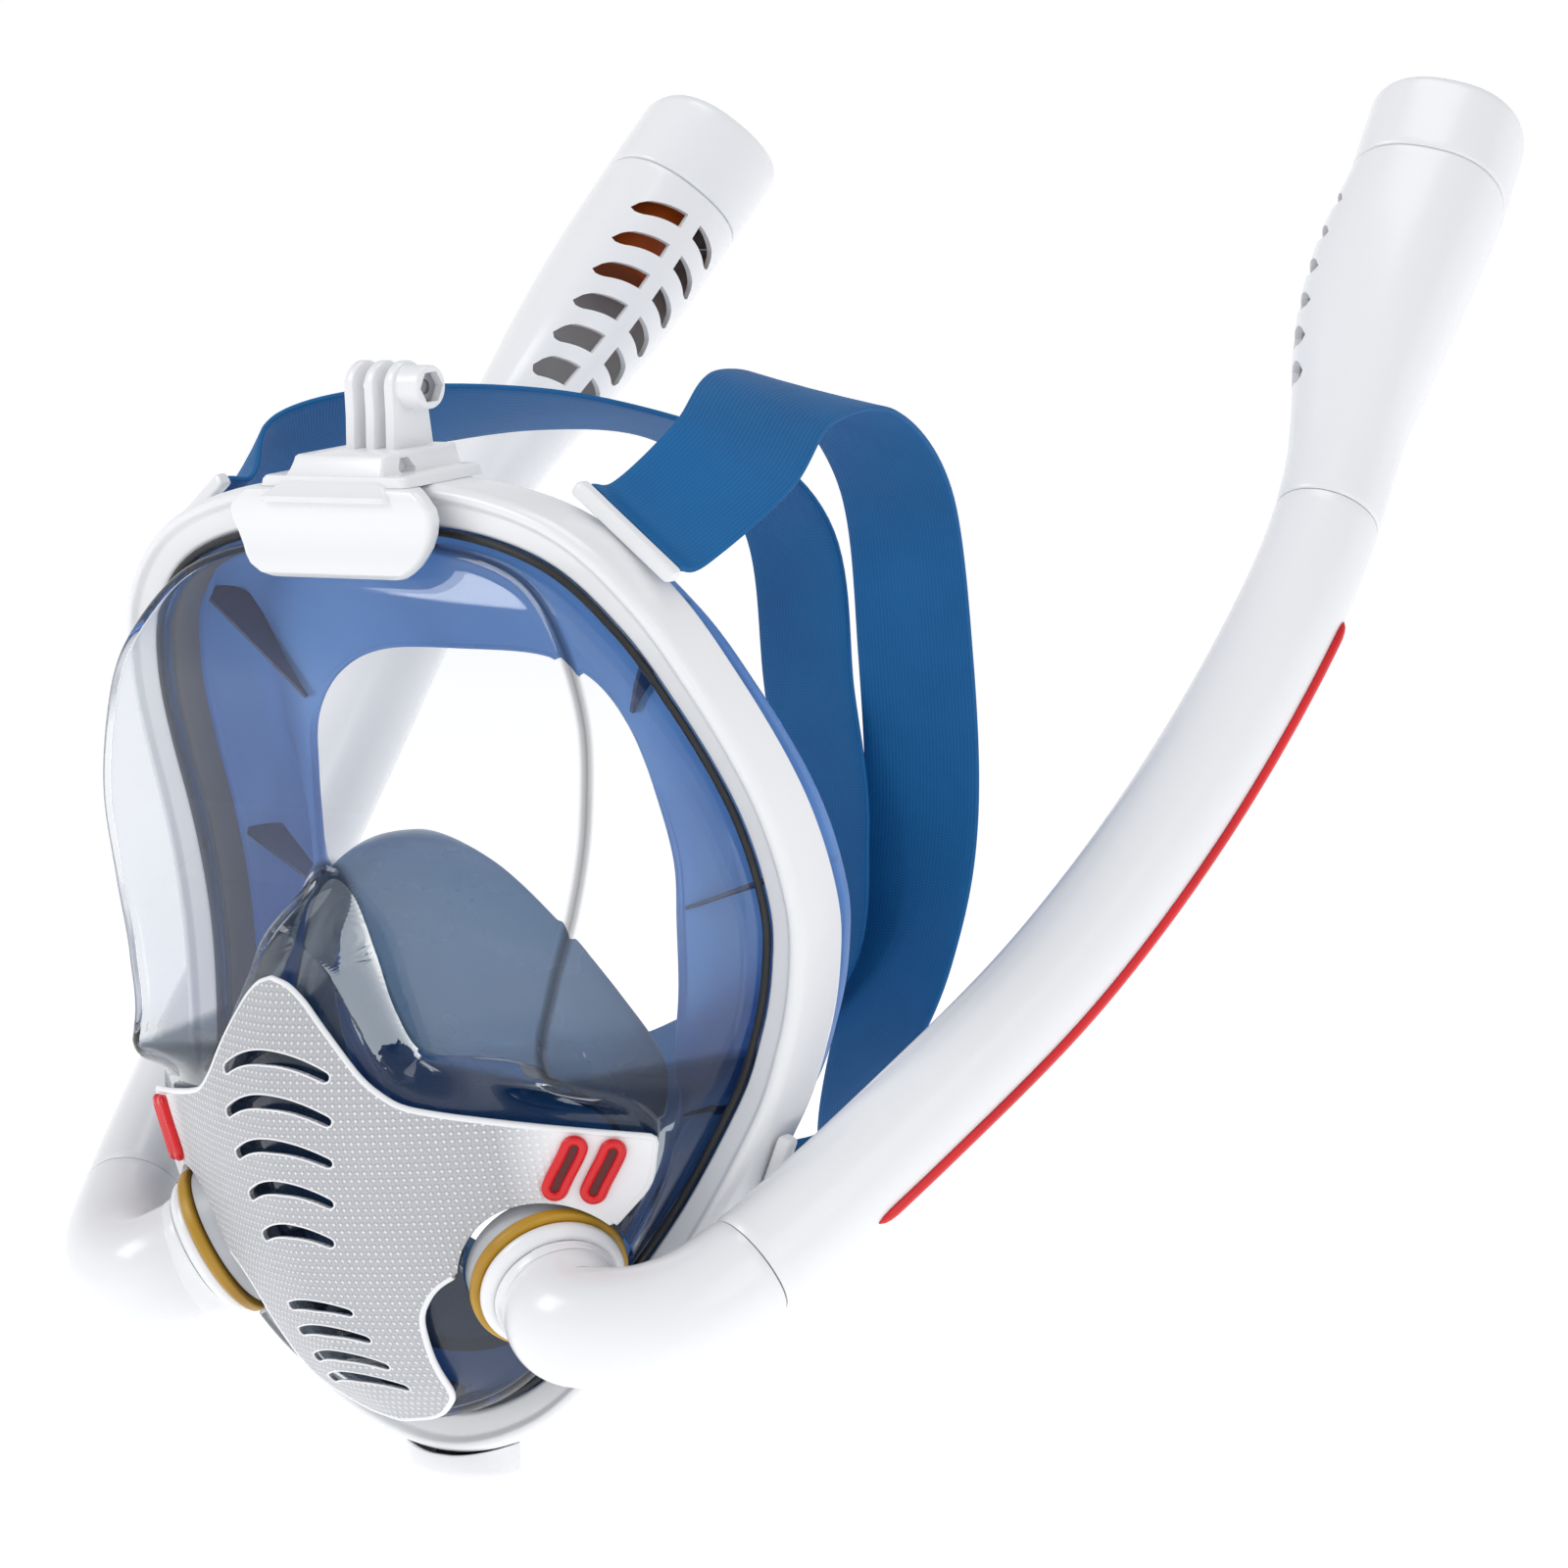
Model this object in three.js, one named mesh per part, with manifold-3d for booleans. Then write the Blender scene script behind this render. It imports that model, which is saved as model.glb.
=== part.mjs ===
// Full face snorkel mask with two side tubes. Millimetres, +Z up, the wearer looks along -Y,
// +X is the wearer's left. The origin is the middle of the face seal.
import * as THREE from 'three';
import { mergeVertices } from 'three/addons/utils/BufferGeometryUtils.js';
import Module from 'manifold-3d';

// ---- driving dimensions -------------------------------------------------------------------
const frameTop = 137;
const frameHalfWidth = 116;
const frameDepth = 20;
const frontAtMiddle = -47; // y of the frame's front edge on the centre line
const sideSweep = 34; // how far the frame's sides sweep back
const lensThickness = 2.5;
const coverThickness = 2;
const coverLift = 2.8; // the cover stands clear of the mouth box
const slotCount = 6;
const portCentre = new THREE.Vector3(60, -61.5, -77);
const portAxis = new THREE.Vector3(0.76, -0.47, -0.44).normalize();
const portRadius = 21;
const ringRadius = 22.7;
const elbowRadius = 17.5;
const tubeRadius = 15.2;
const tubeWall = 2.2;
const tubeTop = new THREE.Vector3(157, 204.5, 122.5);
const housingAxis = new THREE.Vector3(-13, 64.2, 61).normalize();
const housingLength = 87;
const capHalf = [23.3, 23];
const capLength = 29;
const floatRadius = 12.5;
const floatLength = 30;
const strapWidth = 37;
const strapThickness = 1.6;
const clear = 0.3; // running gap between neighbouring pieces
const around = 38; // facets round the frame

// Half outlines (x, z) from the top of the centre line to its bottom, point for point alike.
const frameHalfOutline = [
  [0, frameTop], [40, 135], [72, 125], [93, 106], [105, 82], [113, 52], [frameHalfWidth, 20],
  [115, 0], [112, -20], [106, -42], [90, -74], [66, -103], [36, -127], [0, -137],
];
const lensHalfOutline = [
  [0, 122], [32, 121], [62, 113], [80, 96], [88.5, 76], [90, 50], [85.5, 26],
  [79, 4], [77, -16], [93, -38], [79, -72], [58, -97], [32, -116], [0, -124],
];
const lipHalfOutline = [
  [0, 87], [30, 86], [48, 79], [59, 66], [64, 48], [67, 28], [67, 10],
  [66, -8], [63, -25], [57, -45], [47, -65], [34, -82], [19, -93], [0, -98],
];
const cupFrontHalf = [
  [0, -66, 27], [20, -66, 14], [40, -63, -9], [58, -56, -23], [74, -46, -36], [74, -40, -52],
  [66, -38, -70], [50, -38, -88], [27, -37, -103], [0, -37, -109],
];
const cupRearHalf = [
  [0, -32, 38], [22, -29, 30], [41, -24, 12], [54, -17, -8], [61, -9, -27], [58, -6, -43],
  [50, -6, -58], [38, -7, -72], [21, -8, -85], [0, -9, -90],
];

// ---- materials ----------------------------------------------------------------------------
const material = (color, roughness, metalness = 0, opacity = 1) =>
  new THREE.MeshStandardMaterial({ color, roughness, metalness, opacity, transparent: opacity < 1 });
const white = material(0xf2f3f4, 0.25);
const clearPlastic = material(0xd9dde2, 0.05, 0, 0.35);
const greyPlastic = material(0xb9bcc0, 0.4);
const blueSilicone = material(0x4d86c9, 0.4, 0, 0.75);
const blueStrap = material(0x14568f, 0.75);
const red = material(0xd8262b, 0.4);
const gold = material(0xb8912a, 0.35);
const orange = material(0xc85f14, 0.5);
const blackRubber = material(0x222326, 0.6);
const steel = material(0x9a9ca0, 0.3, 1);

// ---- shared shapes ------------------------------------------------------------------------
const vec = (p) => new THREE.Vector3(...p);
const clamp = THREE.MathUtils.clamp;
const closedLoop = (half) => half.concat(
  half.slice(1, -1).reverse().map((p) => [-p[0], ...p.slice(1)]),
);
const loopCurve = (half) => new THREE.CatmullRomCurve3(
  closedLoop(half).map((p) => (p.length === 2 ? new THREE.Vector3(p[0], 0, p[1]) : vec(p))),
  true, 'catmullrom', 0.5,
);
const openCurve = (points) => new THREE.CatmullRomCurve3(
  points.map((p) => (p.isVector3 ? p : vec(p))), false, 'catmullrom', 0.5,
);

const frameFront = (x, z) => {
  const swell = Math.cos((clamp((z - 5) / 147, -1, 1) * Math.PI) / 2) ** 2;
  return frontAtMiddle - (3 * z) / frameTop + sideSweep * swell * (x / frameHalfWidth) ** 2;
};
const interpolate = (table, t) => {
  let i = 0; // the table runs from high to low
  while (i < table.length - 2 && t < table[i + 1][0]) i += 1;
  const [[t0, v0], [t1, v1]] = [table[i], table[i + 1]];
  return v0 + (v1 - v0) * clamp((t - t0) / (t1 - t0), 0, 1);
};
// the mouth box on the centre line: z, y
const boxMiddle = [
  [8, -93], [-18, -98.5], [-30, -99], [-52, -95.5], [-78, -89], [-95, -81], [-110, -70], [-124, -54],
];
const boxFront = (x, z) => interpolate(boxMiddle, z) + 0.0653 * Math.abs(x) ** 1.476;
const noseBell = (x, width) => Math.exp(-((x / width) ** 2));
const ridgeHeight = (x) => -24 - 0.1 * Math.abs(x) + 43 * noseBell(x, 27);
const shelfHeight = (x) => Math.max(-12 - 0.1 * Math.abs(x) + 47 * noseBell(x, 16), ridgeHeight(x) + 4);
// the window leans back towards its top: z, y
const windowLean = [[115, -49.5], [103, -55], [88, -60.5], [70, -63.5], [55, -66], [28, -68.5], [-14, -75]];
const windowFront = (x, z) => interpolate(windowLean, z) - 4 * (1 - (x / 88) ** 2);
const lensFront = (x, z) => {
  const share = clamp((shelfHeight(x) - z) / (shelfHeight(x) - ridgeHeight(x)), 0, 1);
  return THREE.MathUtils.lerp(windowFront(x, z), boxFront(x, z), share);
};

const outwardVolume = (geometry) => {
  const p = geometry.attributes.position;
  const index = geometry.index.array;
  const [a, b, c] = [new THREE.Vector3(), new THREE.Vector3(), new THREE.Vector3()];
  let total = 0;
  for (let i = 0; i < index.length; i += 3) {
    a.fromBufferAttribute(p, index[i]);
    b.fromBufferAttribute(p, index[i + 1]);
    c.fromBufferAttribute(p, index[i + 2]);
    total += a.dot(b.cross(c)) / 6;
  }
  return total;
};
const toGeometry = (points, faces) => {
  const geometry = new THREE.BufferGeometry();
  geometry.setAttribute('position', new THREE.Float32BufferAttribute(points.flatMap((p) => [...p]), 3));
  geometry.setIndex(faces);
  if (outwardVolume(geometry) < 0) {
    geometry.setIndex(faces.map((_, i) => faces[i - (i % 3) + [0, 2, 1][i % 3]]));
  }
  geometry.computeVertexNormals();
  return geometry;
};
// closed rings of points joined one to the next; joined round, or capped at both ends. A sheet's
// rings run along its front and back along its rear, so its ends close straight across
const loft = (rings, ends) => {
  const n = rings[0].length;
  const points = rings.flat();
  const faces = [];
  const spans = ends === 'joined' ? rings.length : rings.length - 1;
  for (let r = 0; r < spans; r += 1) {
    const next = (r + 1) % rings.length;
    for (let i = 0; i < n; i += 1) {
      const j = (i + 1) % n;
      const [a, b, c, d] = [r * n + i, r * n + j, next * n + j, next * n + i];
      faces.push(a, b, c, a, c, d);
    }
  }
  if (ends === 'capped') {
    [0, rings.length - 1].forEach((r) => {
      const middle = rings[r].reduce((s, p) => s.add(p), new THREE.Vector3()).divideScalar(n);
      points.push(middle);
      for (let i = 0; i < n; i += 1) {
        const pair = [r * n + i, r * n + ((i + 1) % n)];
        faces.push(points.length - 1, ...(r === 0 ? pair.reverse() : pair));
      }
    });
  }
  if (ends === 'sheet') {
    [0, rings.length - 1].forEach((r) => {
      for (let i = 0; i < n / 2 - 1; i += 1) {
        const quad = [i, i + 1, n - 2 - i, n - 1 - i].map((k) => r * n + k);
        if (r === 0) quad.reverse();
        faces.push(quad[0], quad[1], quad[2], quad[0], quad[2], quad[3]);
      }
    });
  }
  return toGeometry(points, faces);
};
// a ring that follows the frame: the section's points are (outward, backward) from its front edge
const frameRing = (section, count = around) => {
  const curve = loopCurve(frameHalfOutline);
  const at = (i, [out, back]) => {
    const p = curve.getPoint(i / count);
    const t = curve.getTangent(i / count);
    return new THREE.Vector3(p.x + out * t.z, frameFront(p.x, p.z) + back, p.z - out * t.x);
  };
  const sign = curve.getTangent(0.25).z > 0 ? 1 : -1;
  return loft(section.map(([out, back]) =>
    Array.from({ length: count }, (_, i) => at(i, [out * sign, back]))), 'joined');
};
const framePoint = (share, out, back) => {
  const curve = loopCurve(frameHalfOutline);
  const p = curve.getPoint(share);
  const t = curve.getTangent(share);
  const sign = curve.getTangent(0.25).z > 0 ? 1 : -1;
  return new THREE.Vector3(p.x + sign * out * t.z, frameFront(p.x, p.z) + back, p.z - sign * out * t.x);
};

const wasm = await Module();
wasm.setup();
const welded = (geometry) => {
  const bare = geometry.clone();
  bare.deleteAttribute('normal');
  bare.deleteAttribute('uv');
  return mergeVertices(bare, 1e-4);
};
const toManifold = (geometry) => {
  const merged = welded(geometry);
  return new wasm.Manifold(new wasm.Mesh({
    numProp: 3,
    vertProperties: new Float32Array(merged.attributes.position.array),
    triVerts: new Uint32Array(merged.index.array),
  }));
};
const fromManifold = (solid) => {
  const mesh = solid.getMesh();
  const geometry = new THREE.BufferGeometry();
  geometry.setAttribute('position', new THREE.Float32BufferAttribute(mesh.vertProperties, 3));
  geometry.setIndex(Array.from(mesh.triVerts));
  return geometry;
};
const cut = (geometry, tools) => fromManifold(
  tools.reduce((solid, tool) => solid.subtract(toManifold(tool)), toManifold(geometry)),
);
const join = (geometries) => fromManifold(
  geometries.map(toManifold).reduce((a, b) => a.add(b)),
);
// a cylinder or box placed at a point, its own Z turned to the axis
const along = (geometry, axis, point) => geometry
  .applyQuaternion(new THREE.Quaternion().setFromUnitVectors(new THREE.Vector3(0, 0, 1), axis))
  .translate(point.x, point.y, point.z);
const rod = (radius, from, to, axis, origin, sides = 28, endRadius = radius) => along(
  new THREE.CylinderGeometry(endRadius, radius, to - from, sides).rotateX(Math.PI / 2),
  axis, origin.clone().addScaledVector(axis, (from + to) / 2),
);
const turned = (profile, axis, origin, sides = 24) => along(
  new THREE.LatheGeometry(profile.map(([r, s]) => new THREE.Vector2(r, s)), sides).rotateX(Math.PI / 2),
  axis, origin,
);
// a hollow pipe along part of a curve, its rings carried along without twist
const pipe = (curve, [from, to], stations, outer, inner, sides = 14) => {
  const normal = new THREE.Vector3(0, 0, 1);
  const frames = Array.from({ length: stations + 1 }, (_, i) => {
    const t = from + ((to - from) * i) / stations;
    const tangent = curve.getTangent(t);
    normal.addScaledVector(tangent, -normal.dot(tangent)).normalize();
    return { centre: curve.getPoint(t), a: normal.clone(), b: tangent.cross(normal).clone() };
  });
  const ring = (i, radius) => Array.from({ length: sides }, (_, k) => {
    const angle = (2 * Math.PI * k) / sides;
    return frames[i].centre.clone()
      .addScaledVector(frames[i].a, radius * Math.cos(angle))
      .addScaledVector(frames[i].b, radius * Math.sin(angle));
  });
  const outside = frames.map((_, i) => ring(i, outer(i / stations)));
  const inside = frames.map((_, i) => ring(i, inner(i / stations))).reverse();
  return loft([...outside, ...inside], 'joined');
};
const box = (size, centre) => new THREE.BoxGeometry(...size).translate(...centre);

const snorkel = new THREE.Group();
const add = (name, geometry, look) => {
  const mesh = new THREE.Mesh(geometry, look);
  mesh.name = name;
  snorkel.add(mesh);
};
const mirrored = (geometry) => {
  const copy = welded(geometry).applyMatrix4(new THREE.Matrix4().makeScale(-1, 1, 1));
  const index = Array.from(copy.index.array);
  copy.setIndex(index.map((_, i) => index[i - (i % 3) + [0, 2, 1][i % 3]]));
  return copy;
};
// the wearer's left piece and its mirror image on the right
const addPair = (name, geometry, look) => {
  add(`${name}_left`, geometry, look);
  add(`${name}_right`, mirrored(geometry), look);
};

// ---- frame and retainer -------------------------------------------------------------------
const up = new THREE.Vector3(0, 0, 1);
const chinPoint = new THREE.Vector3(0, -35, -136.8);
const frameSolid = frameRing([[0, 1.5], [-2, 0], [-11, 1.5], [-11, 3], [-5, 3.2], [-5, frameDepth],
  [-1, frameDepth], [0, frameDepth - 2]]);
add('outer_frame', cut(frameSolid, [rod(5.2, -14, 16, up, chinPoint)]), white);

const screwShares = [0.07, 0.2, 0.37, 0.63, 0.8, 0.93];
const back = new THREE.Vector3(0, 1, 0);
const screwCentre = (share) => framePoint(share, -7.8, 13.8);
add('rear_retainer', cut(
  frameRing([[-5.3, 9.8], [-10.2, 9.8], [-10.2, 13.8], [-5.3, 13.8]]),
  screwShares.map((share) => rod(1.5, -2.6, 4, back, screwCentre(share), 8)),
), white);
screwShares.forEach((share, i) => {
  const profile = [[0, -2], [1.1, -2], [1.1, 0.9], [2.2, 0.9], [2, 2.3], [0, 2.3]];
  add(`retainer_screw_${i + 1}`, turned(profile, back, screwCentre(share), 8), steel);
});

// ---- lens ---------------------------------------------------------------------------------
const ringAt = (half, place) => {
  const curve = loopCurve(half);
  return Array.from({ length: around }, (_, i) => place(curve.getPoint(i / around), i));
};
const flange = (out, depth) => Array.from({ length: around }, (_, i) => framePoint(i / around, out, depth));
const lensScales = [1, 0.92, 0.72, 0.48, 0.26, 0.08];
const lensCentre = new THREE.Vector3(0, 0, 4);
const plateau = (scale, thickness) => ringAt(lensHalfOutline, (p) => {
  const q = p.clone().sub(lensCentre).multiplyScalar(scale).add(lensCentre);
  const inset = thickness > 0 && scale === 1 ? 0.97 : 1;
  const [x, z] = [q.x * inset, (q.z - 4) * inset + 4];
  return new THREE.Vector3(x, lensFront(x, z) + thickness, z);
});
const lensSolid = loft([
  ...lensScales.map((s) => plateau(s, 0)).reverse(),
  flange(-14.5, 3.5), flange(-6.5, 3.5), flange(-6.5, 5.8), flange(-17.2, 5.8),
  ...lensScales.map((s) => plateau(s, lensThickness)),
], 'capped');
const portHoles = [
  rod(portRadius + clear, -20, 20, portAxis, portCentre, 20),
  rod(ringRadius + 0.6, -2.3, 26, portAxis, portCentre, 20),
];
add('visor_lens', cut(lensSolid, [...portHoles, ...portHoles.map(mirrored)]), clearPlastic);

// ---- face skirt and nose cup --------------------------------------------------------------
const lip = (thickness) => ringAt(lipHalfOutline, (p) =>
  new THREE.Vector3(p.x, frameFront(p.x, p.z) + 41 + thickness, p.z));
add('face_skirt', loft([
  flange(-6.5, 6.3), flange(-6.5, 9.4), flange(-10.6, 9.5), flange(-10.6, 19), flange(-4.5, 26),
  flange(-6, 34), flange(-14, 40), flange(-28, 37), lip(1.5), lip(-1.5), flange(-28, 34),
  flange(-14.5, 36.5), flange(-9, 32.5), flange(-8, 27.5), flange(-14, 20), flange(-14, 6.3),
], 'joined'), blueSilicone);

const cupLoop = (half, shrink) => ringAt(half, (p) => new THREE.Vector3(
  p.x * shrink, p.y, (p.z + 25) * shrink - 25,
));
const between = (a, b, share) => a.map((p, i) => p.clone().lerp(b[i], share));
const cupOuter = [cupLoop(cupFrontHalf, 1), cupLoop(cupRearHalf, 1)];
const cupInner = [cupLoop(cupFrontHalf, 0.96), cupLoop(cupRearHalf, 0.955)];
add('nose_cup', loft([
  cupOuter[0], between(...cupOuter, 0.5), cupOuter[1],
  cupInner[1], between(...cupInner, 0.5), cupInner[0],
], 'joined'), blueSilicone);

// ---- mouth cover and its vents ------------------------------------------------------------
const coverRows = [7, 4, -9, -20, -25, -28, -33, -38, -51, -63, -66, -71, -78, -86, -101, -116, -122];
// how far the cover reaches to each side: z, x
const coverReach = [
  [7, 3], [4, 10], [-9, 20], [-20, 28], [-25, 34], [-28, 46], [-33, 67], [-38, 92], [-51, 89],
  [-63, 78], [-66, 60], [-71, 47], [-78, 35], [-86, 29], [-101, 26], [-116, 25], [-122, 13],
];
const coverColumns = 12;
const coverPoint = (row, column, lift) => {
  const x = interpolate(coverReach, row) * ((2 * column) / coverColumns - 1);
  return new THREE.Vector3(x, boxFront(x, row) - lift, row);
};
const coverSheet = (lift) => coverRows.map((row) =>
  Array.from({ length: coverColumns + 1 }, (_, c) => coverPoint(row, c, lift)));
const sheetRings = (front, rear) => front.map((row, r) => [...row, ...rear[r].slice().reverse()]);
const coverSolid = loft(sheetRings(coverSheet(coverLift + coverThickness), coverSheet(coverLift)), 'sheet');
const slotHeights = [-16, -28, -40, -52, -64, -87, -95, -103, -111];
const slotCut = (z) => new THREE.BoxGeometry(z > -70 ? 30 : 26, 40, 3.4)
  .translate(0, boxFront(0, z), z);
const ventPlaces = [[70.5, -44.8], [79, -46.5]];
const ventAxis = (x, z) => new THREE.Vector3(
  boxFront(x + 1, z) - boxFront(x, z), -1, boxFront(x, z + 1) - boxFront(x, z),
).normalize();
const stadium = (half, radius, depth) => {
  const shape = new THREE.Shape();
  shape.absarc(0, half, radius, 0, Math.PI);
  shape.absarc(0, -half, radius, Math.PI, 2 * Math.PI);
  return new THREE.ExtrudeGeometry(shape, { depth, bevelEnabled: false, curveSegments: 6 })
    .rotateZ(-0.35);
};
const onCover = (geometry, [x, z], lift) => {
  const turn = new THREE.Matrix4().lookAt(ventAxis(x, z), new THREE.Vector3(), up);
  const point = new THREE.Vector3(x, boxFront(x, z), z).addScaledVector(ventAxis(x, z), lift);
  return geometry.applyMatrix4(turn).translate(point.x, point.y, point.z);
};
const ventHoles = ventPlaces.map((place) => onCover(stadium(5.6, 3.6, 12), place, -3));
const ringCut = rod(ringRadius + 0.8, -14, 30, portAxis, portCentre, 24);
add('mouth_cover', cut(coverSolid, [
  ...slotHeights.map(slotCut), ...ventHoles, ...ventHoles.map(mirrored), ringCut, mirrored(ringCut),
]), white);
ventPlaces.forEach((place, i) => {
  const rim = onCover(stadium(5.6, 3.2, 4.4), place, 1.8);
  addPair(`vent_insert_${i + 1}`, cut(rim, [onCover(stadium(5, 1.6, 3), place, 4.8)]), red);
});

// ---- ports, rings, elbows -----------------------------------------------------------------
const ringOf = (inner, outer, from, to, sides = 26) => turned(
  [[inner, from], [outer, from], [outer, to], [inner, to], [inner, from]], portAxis, portCentre, sides,
);
addPair('tube_port', ringOf(14, portRadius, -9, -2), greyPlastic);
addPair('seal_ring', ringOf(17.6, ringRadius, -1.7, 1.9), gold);
addPair('tube_collar', ringOf(16.2, 20.4, 2.2, 6.2), white);
const portAt = (s) => portCentre.clone().addScaledVector(portAxis, s);
const seam = [114, -41, -73.5];
const tubePath = openCurve([
  portAt(6.6), portAt(12), [80, -74, -86], [100, -63, -84.5], seam, [133, 10, -42], [147.5, 62, -8.5],
  [158, 114.5, 34], [163, 164, 81.5], tubeTop, tubeTop.clone().addScaledVector(housingAxis, 60),
]);
const seamAt = 0.4;
const tubeEnd = 0.84;
const elbowTaper = (t) => THREE.MathUtils.lerp(elbowRadius, tubeRadius, t);
addPair('tube_elbow', pipe(tubePath, [0, seamAt - 0.0003], 9, elbowTaper,
  (t) => elbowTaper(t) - tubeWall), white);
addPair('breathing_tube', pipe(tubePath, [seamAt + 0.0003, tubeEnd], 11, () => tubeRadius,
  () => tubeRadius - tubeWall), white);

// the red trim lies along the outer lower side of the tube
const trimSide = new THREE.Vector3(0.85, 0.1, -0.52);
const trimRing = (share, half) => {
  const centre = tubePath.getPoint(share);
  const tangent = tubePath.getTangent(share);
  const out = trimSide.clone().addScaledVector(tangent, -trimSide.dot(tangent)).normalize();
  const side = new THREE.Vector3().crossVectors(tangent, out);
  return [[0.6, -half], [0.6, half], [2.2, half * 0.8], [2.2, -half * 0.8]].map(([lift, across]) =>
    centre.clone().addScaledVector(out, tubeRadius + lift).addScaledVector(side, across));
};
const trimStations = 14;
addPair('tube_trim', loft(Array.from({ length: trimStations + 1 }, (_, i) => {
  const t = i / trimStations;
  return trimRing(0.455 + 0.335 * t, i === 0 || i === trimStations ? 1 : 1.9);
}), 'capped'), red);

// ---- float housings -----------------------------------------------------------------------
const wide = new THREE.Vector3(0.78, 0.62, 0);
wide.addScaledVector(housingAxis, -wide.dot(housingAxis)).normalize();
const narrow = new THREE.Vector3().crossVectors(wide, housingAxis).normalize();
const front = narrow.y < 0 ? narrow : narrow.clone().negate();
const housingPoint = (s, a, b) => tubeTop.clone().addScaledVector(housingAxis, s)
  .addScaledVector(wide, a).addScaledVector(front, b);
const oval = (centre, outer, inner, half, squareness = 0.85, sides = 20) =>
  Array.from({ length: sides }, (_, k) => {
    const angle = (2 * Math.PI * k) / sides;
    const round = (v) => Math.sign(v) * Math.abs(v) ** squareness;
    const a = round(Math.cos(angle));
    return centre.clone().addScaledVector(wide, a * (a > 0 ? outer : inner))
      .addScaledVector(front, half * round(Math.sin(angle)));
  });
// the housing swells to the side its slots are on: place along it, outer, inner and cross half
const housingSwell = [
  [0, 15.2, 19, 17.2], [25, 17.5, 24.5, 20.2], [55, 20.5, 26.5, 22.4],
  [housingLength, capHalf[0], capHalf[0], capHalf[1]],
];
const housingRing = ([s, ...halves], inset) => oval(housingPoint(s, 0, 0), ...halves.map((v) => v - inset));
const neckRing = (share, inset) => oval(tubePath.getPoint(share), ...Array(3).fill(tubeRadius - inset), 1);
const neckStations = [tubeEnd + 0.002, 0.87];
const housingShell = loft([
  ...neckStations.map((t) => neckRing(t, 0)), ...housingSwell.map((row) => housingRing(row, 0)),
  ...housingSwell.map((row) => housingRing(row, tubeWall)).reverse(),
  ...neckStations.map((t) => neckRing(t, tubeWall)).reverse(),
], 'joined');
const slotTurn = 0.17; // the slots look inwards, turned a little to the back
const slotOut = wide.clone().multiplyScalar(-Math.cos(slotTurn)).addScaledVector(front, -Math.sin(slotTurn));
const slotAcross = front.clone().multiplyScalar(Math.cos(slotTurn))
  .addScaledVector(wide, -Math.sin(slotTurn));
const slotMatrix = new THREE.Matrix4().makeBasis(slotAcross, slotOut, new THREE.Vector3()
  .crossVectors(slotAcross, slotOut));
// a slot runs from beside the middle bar to near the housing's front or rear edge
const slotBlock = (s, side, margin) => {
  const crossHalf = interpolate(housingSwell.map((row) => [row[0], row[3]]), s);
  const length = crossHalf - margin - 2.7;
  const p = housingPoint(s, 0, 0).addScaledVector(slotAcross, side * (2.7 + length / 2))
    .addScaledVector(slotOut, 18);
  return new THREE.BoxGeometry(length, 20, 6.2).applyMatrix4(slotMatrix).translate(p.x, p.y, p.z);
};
const firstSlot = 75;
const slotPitch = 12.8;
const housingSlots = Array.from({ length: slotCount }, (_, i) => firstSlot - i * slotPitch)
  .flatMap((s) => [slotBlock(s, 1, 5), slotBlock(s, -1, 8)]);
addPair('float_housing', cut(housingShell, housingSlots), white);
const capRing = (s, inset) => oval(housingPoint(s, 0, 0),
  capHalf[0] - inset, capHalf[0] - inset, capHalf[1] - inset);
const capBottom = housingLength + clear;
const capTop = housingLength + capLength;
addPair('top_cap', loft([
  capRing(capTop - 2.6, tubeWall + 1.6), capRing(capBottom, tubeWall), capRing(capBottom, 0),
  capRing(capTop - 3, 0.5), capRing(capTop - 0.8, 2), capRing(capTop, 4.4),
], 'capped'), white);

const floatBase = 56.5;
const floatLift = 12;
addPair('float', rod(floatRadius, floatBase, floatBase + floatLength, housingAxis, tubeTop, 20), orange);
const sealPlane = floatBase + floatLength + floatLift + 0.6;
addPair('float_seal', turned([
  [7, sealPlane], [15.5, sealPlane], [15.5, sealPlane + 2.4], [7, sealPlane + 2.4], [7, sealPlane],
], housingAxis, tubeTop, 24), blackRubber);

// ---- valves -------------------------------------------------------------------------------
add('chin_valve_seat', turned(
  [[4.2, -3.4], [7.8, -3.4], [7.8, -0.7], [4.2, -0.7], [4.2, -3.4]], up, chinPoint, 20), blackRubber);
add('chin_valve_flap', rod(6.6, -5.2, -4.1, up, chinPoint, 20), blackRubber);
const chinLevel = new THREE.Vector3(0, 0, chinPoint.z);
const chinCup = turned([
  [0, -8.4], [9, -8.4], [12.6, -6.4], [12.6, -1], [11.2, -1], [11.2, -5.6], [8.4, -7], [0, -7],
], up, chinLevel, 20);
add('chin_valve_cover', chinCup.scale(1.55, 0.76, 1).translate(0, chinPoint.y, 0), white);
const inhaleAt = new THREE.Vector3(50, -42, -22);
const inhaleAxis = new THREE.Vector3(0.55, -0.35, 0.76).normalize();
addPair('inhale_valve_seat', turned(
  [[5, -0.5], [9, -0.5], [9, 1.5], [5, 1.5], [5, -0.5]], inhaleAxis, inhaleAt, 20), greyPlastic);
addPair('inhale_valve_flap', rod(7.5, -1.8, -0.8, inhaleAxis, inhaleAt, 20), blackRubber);

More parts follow.
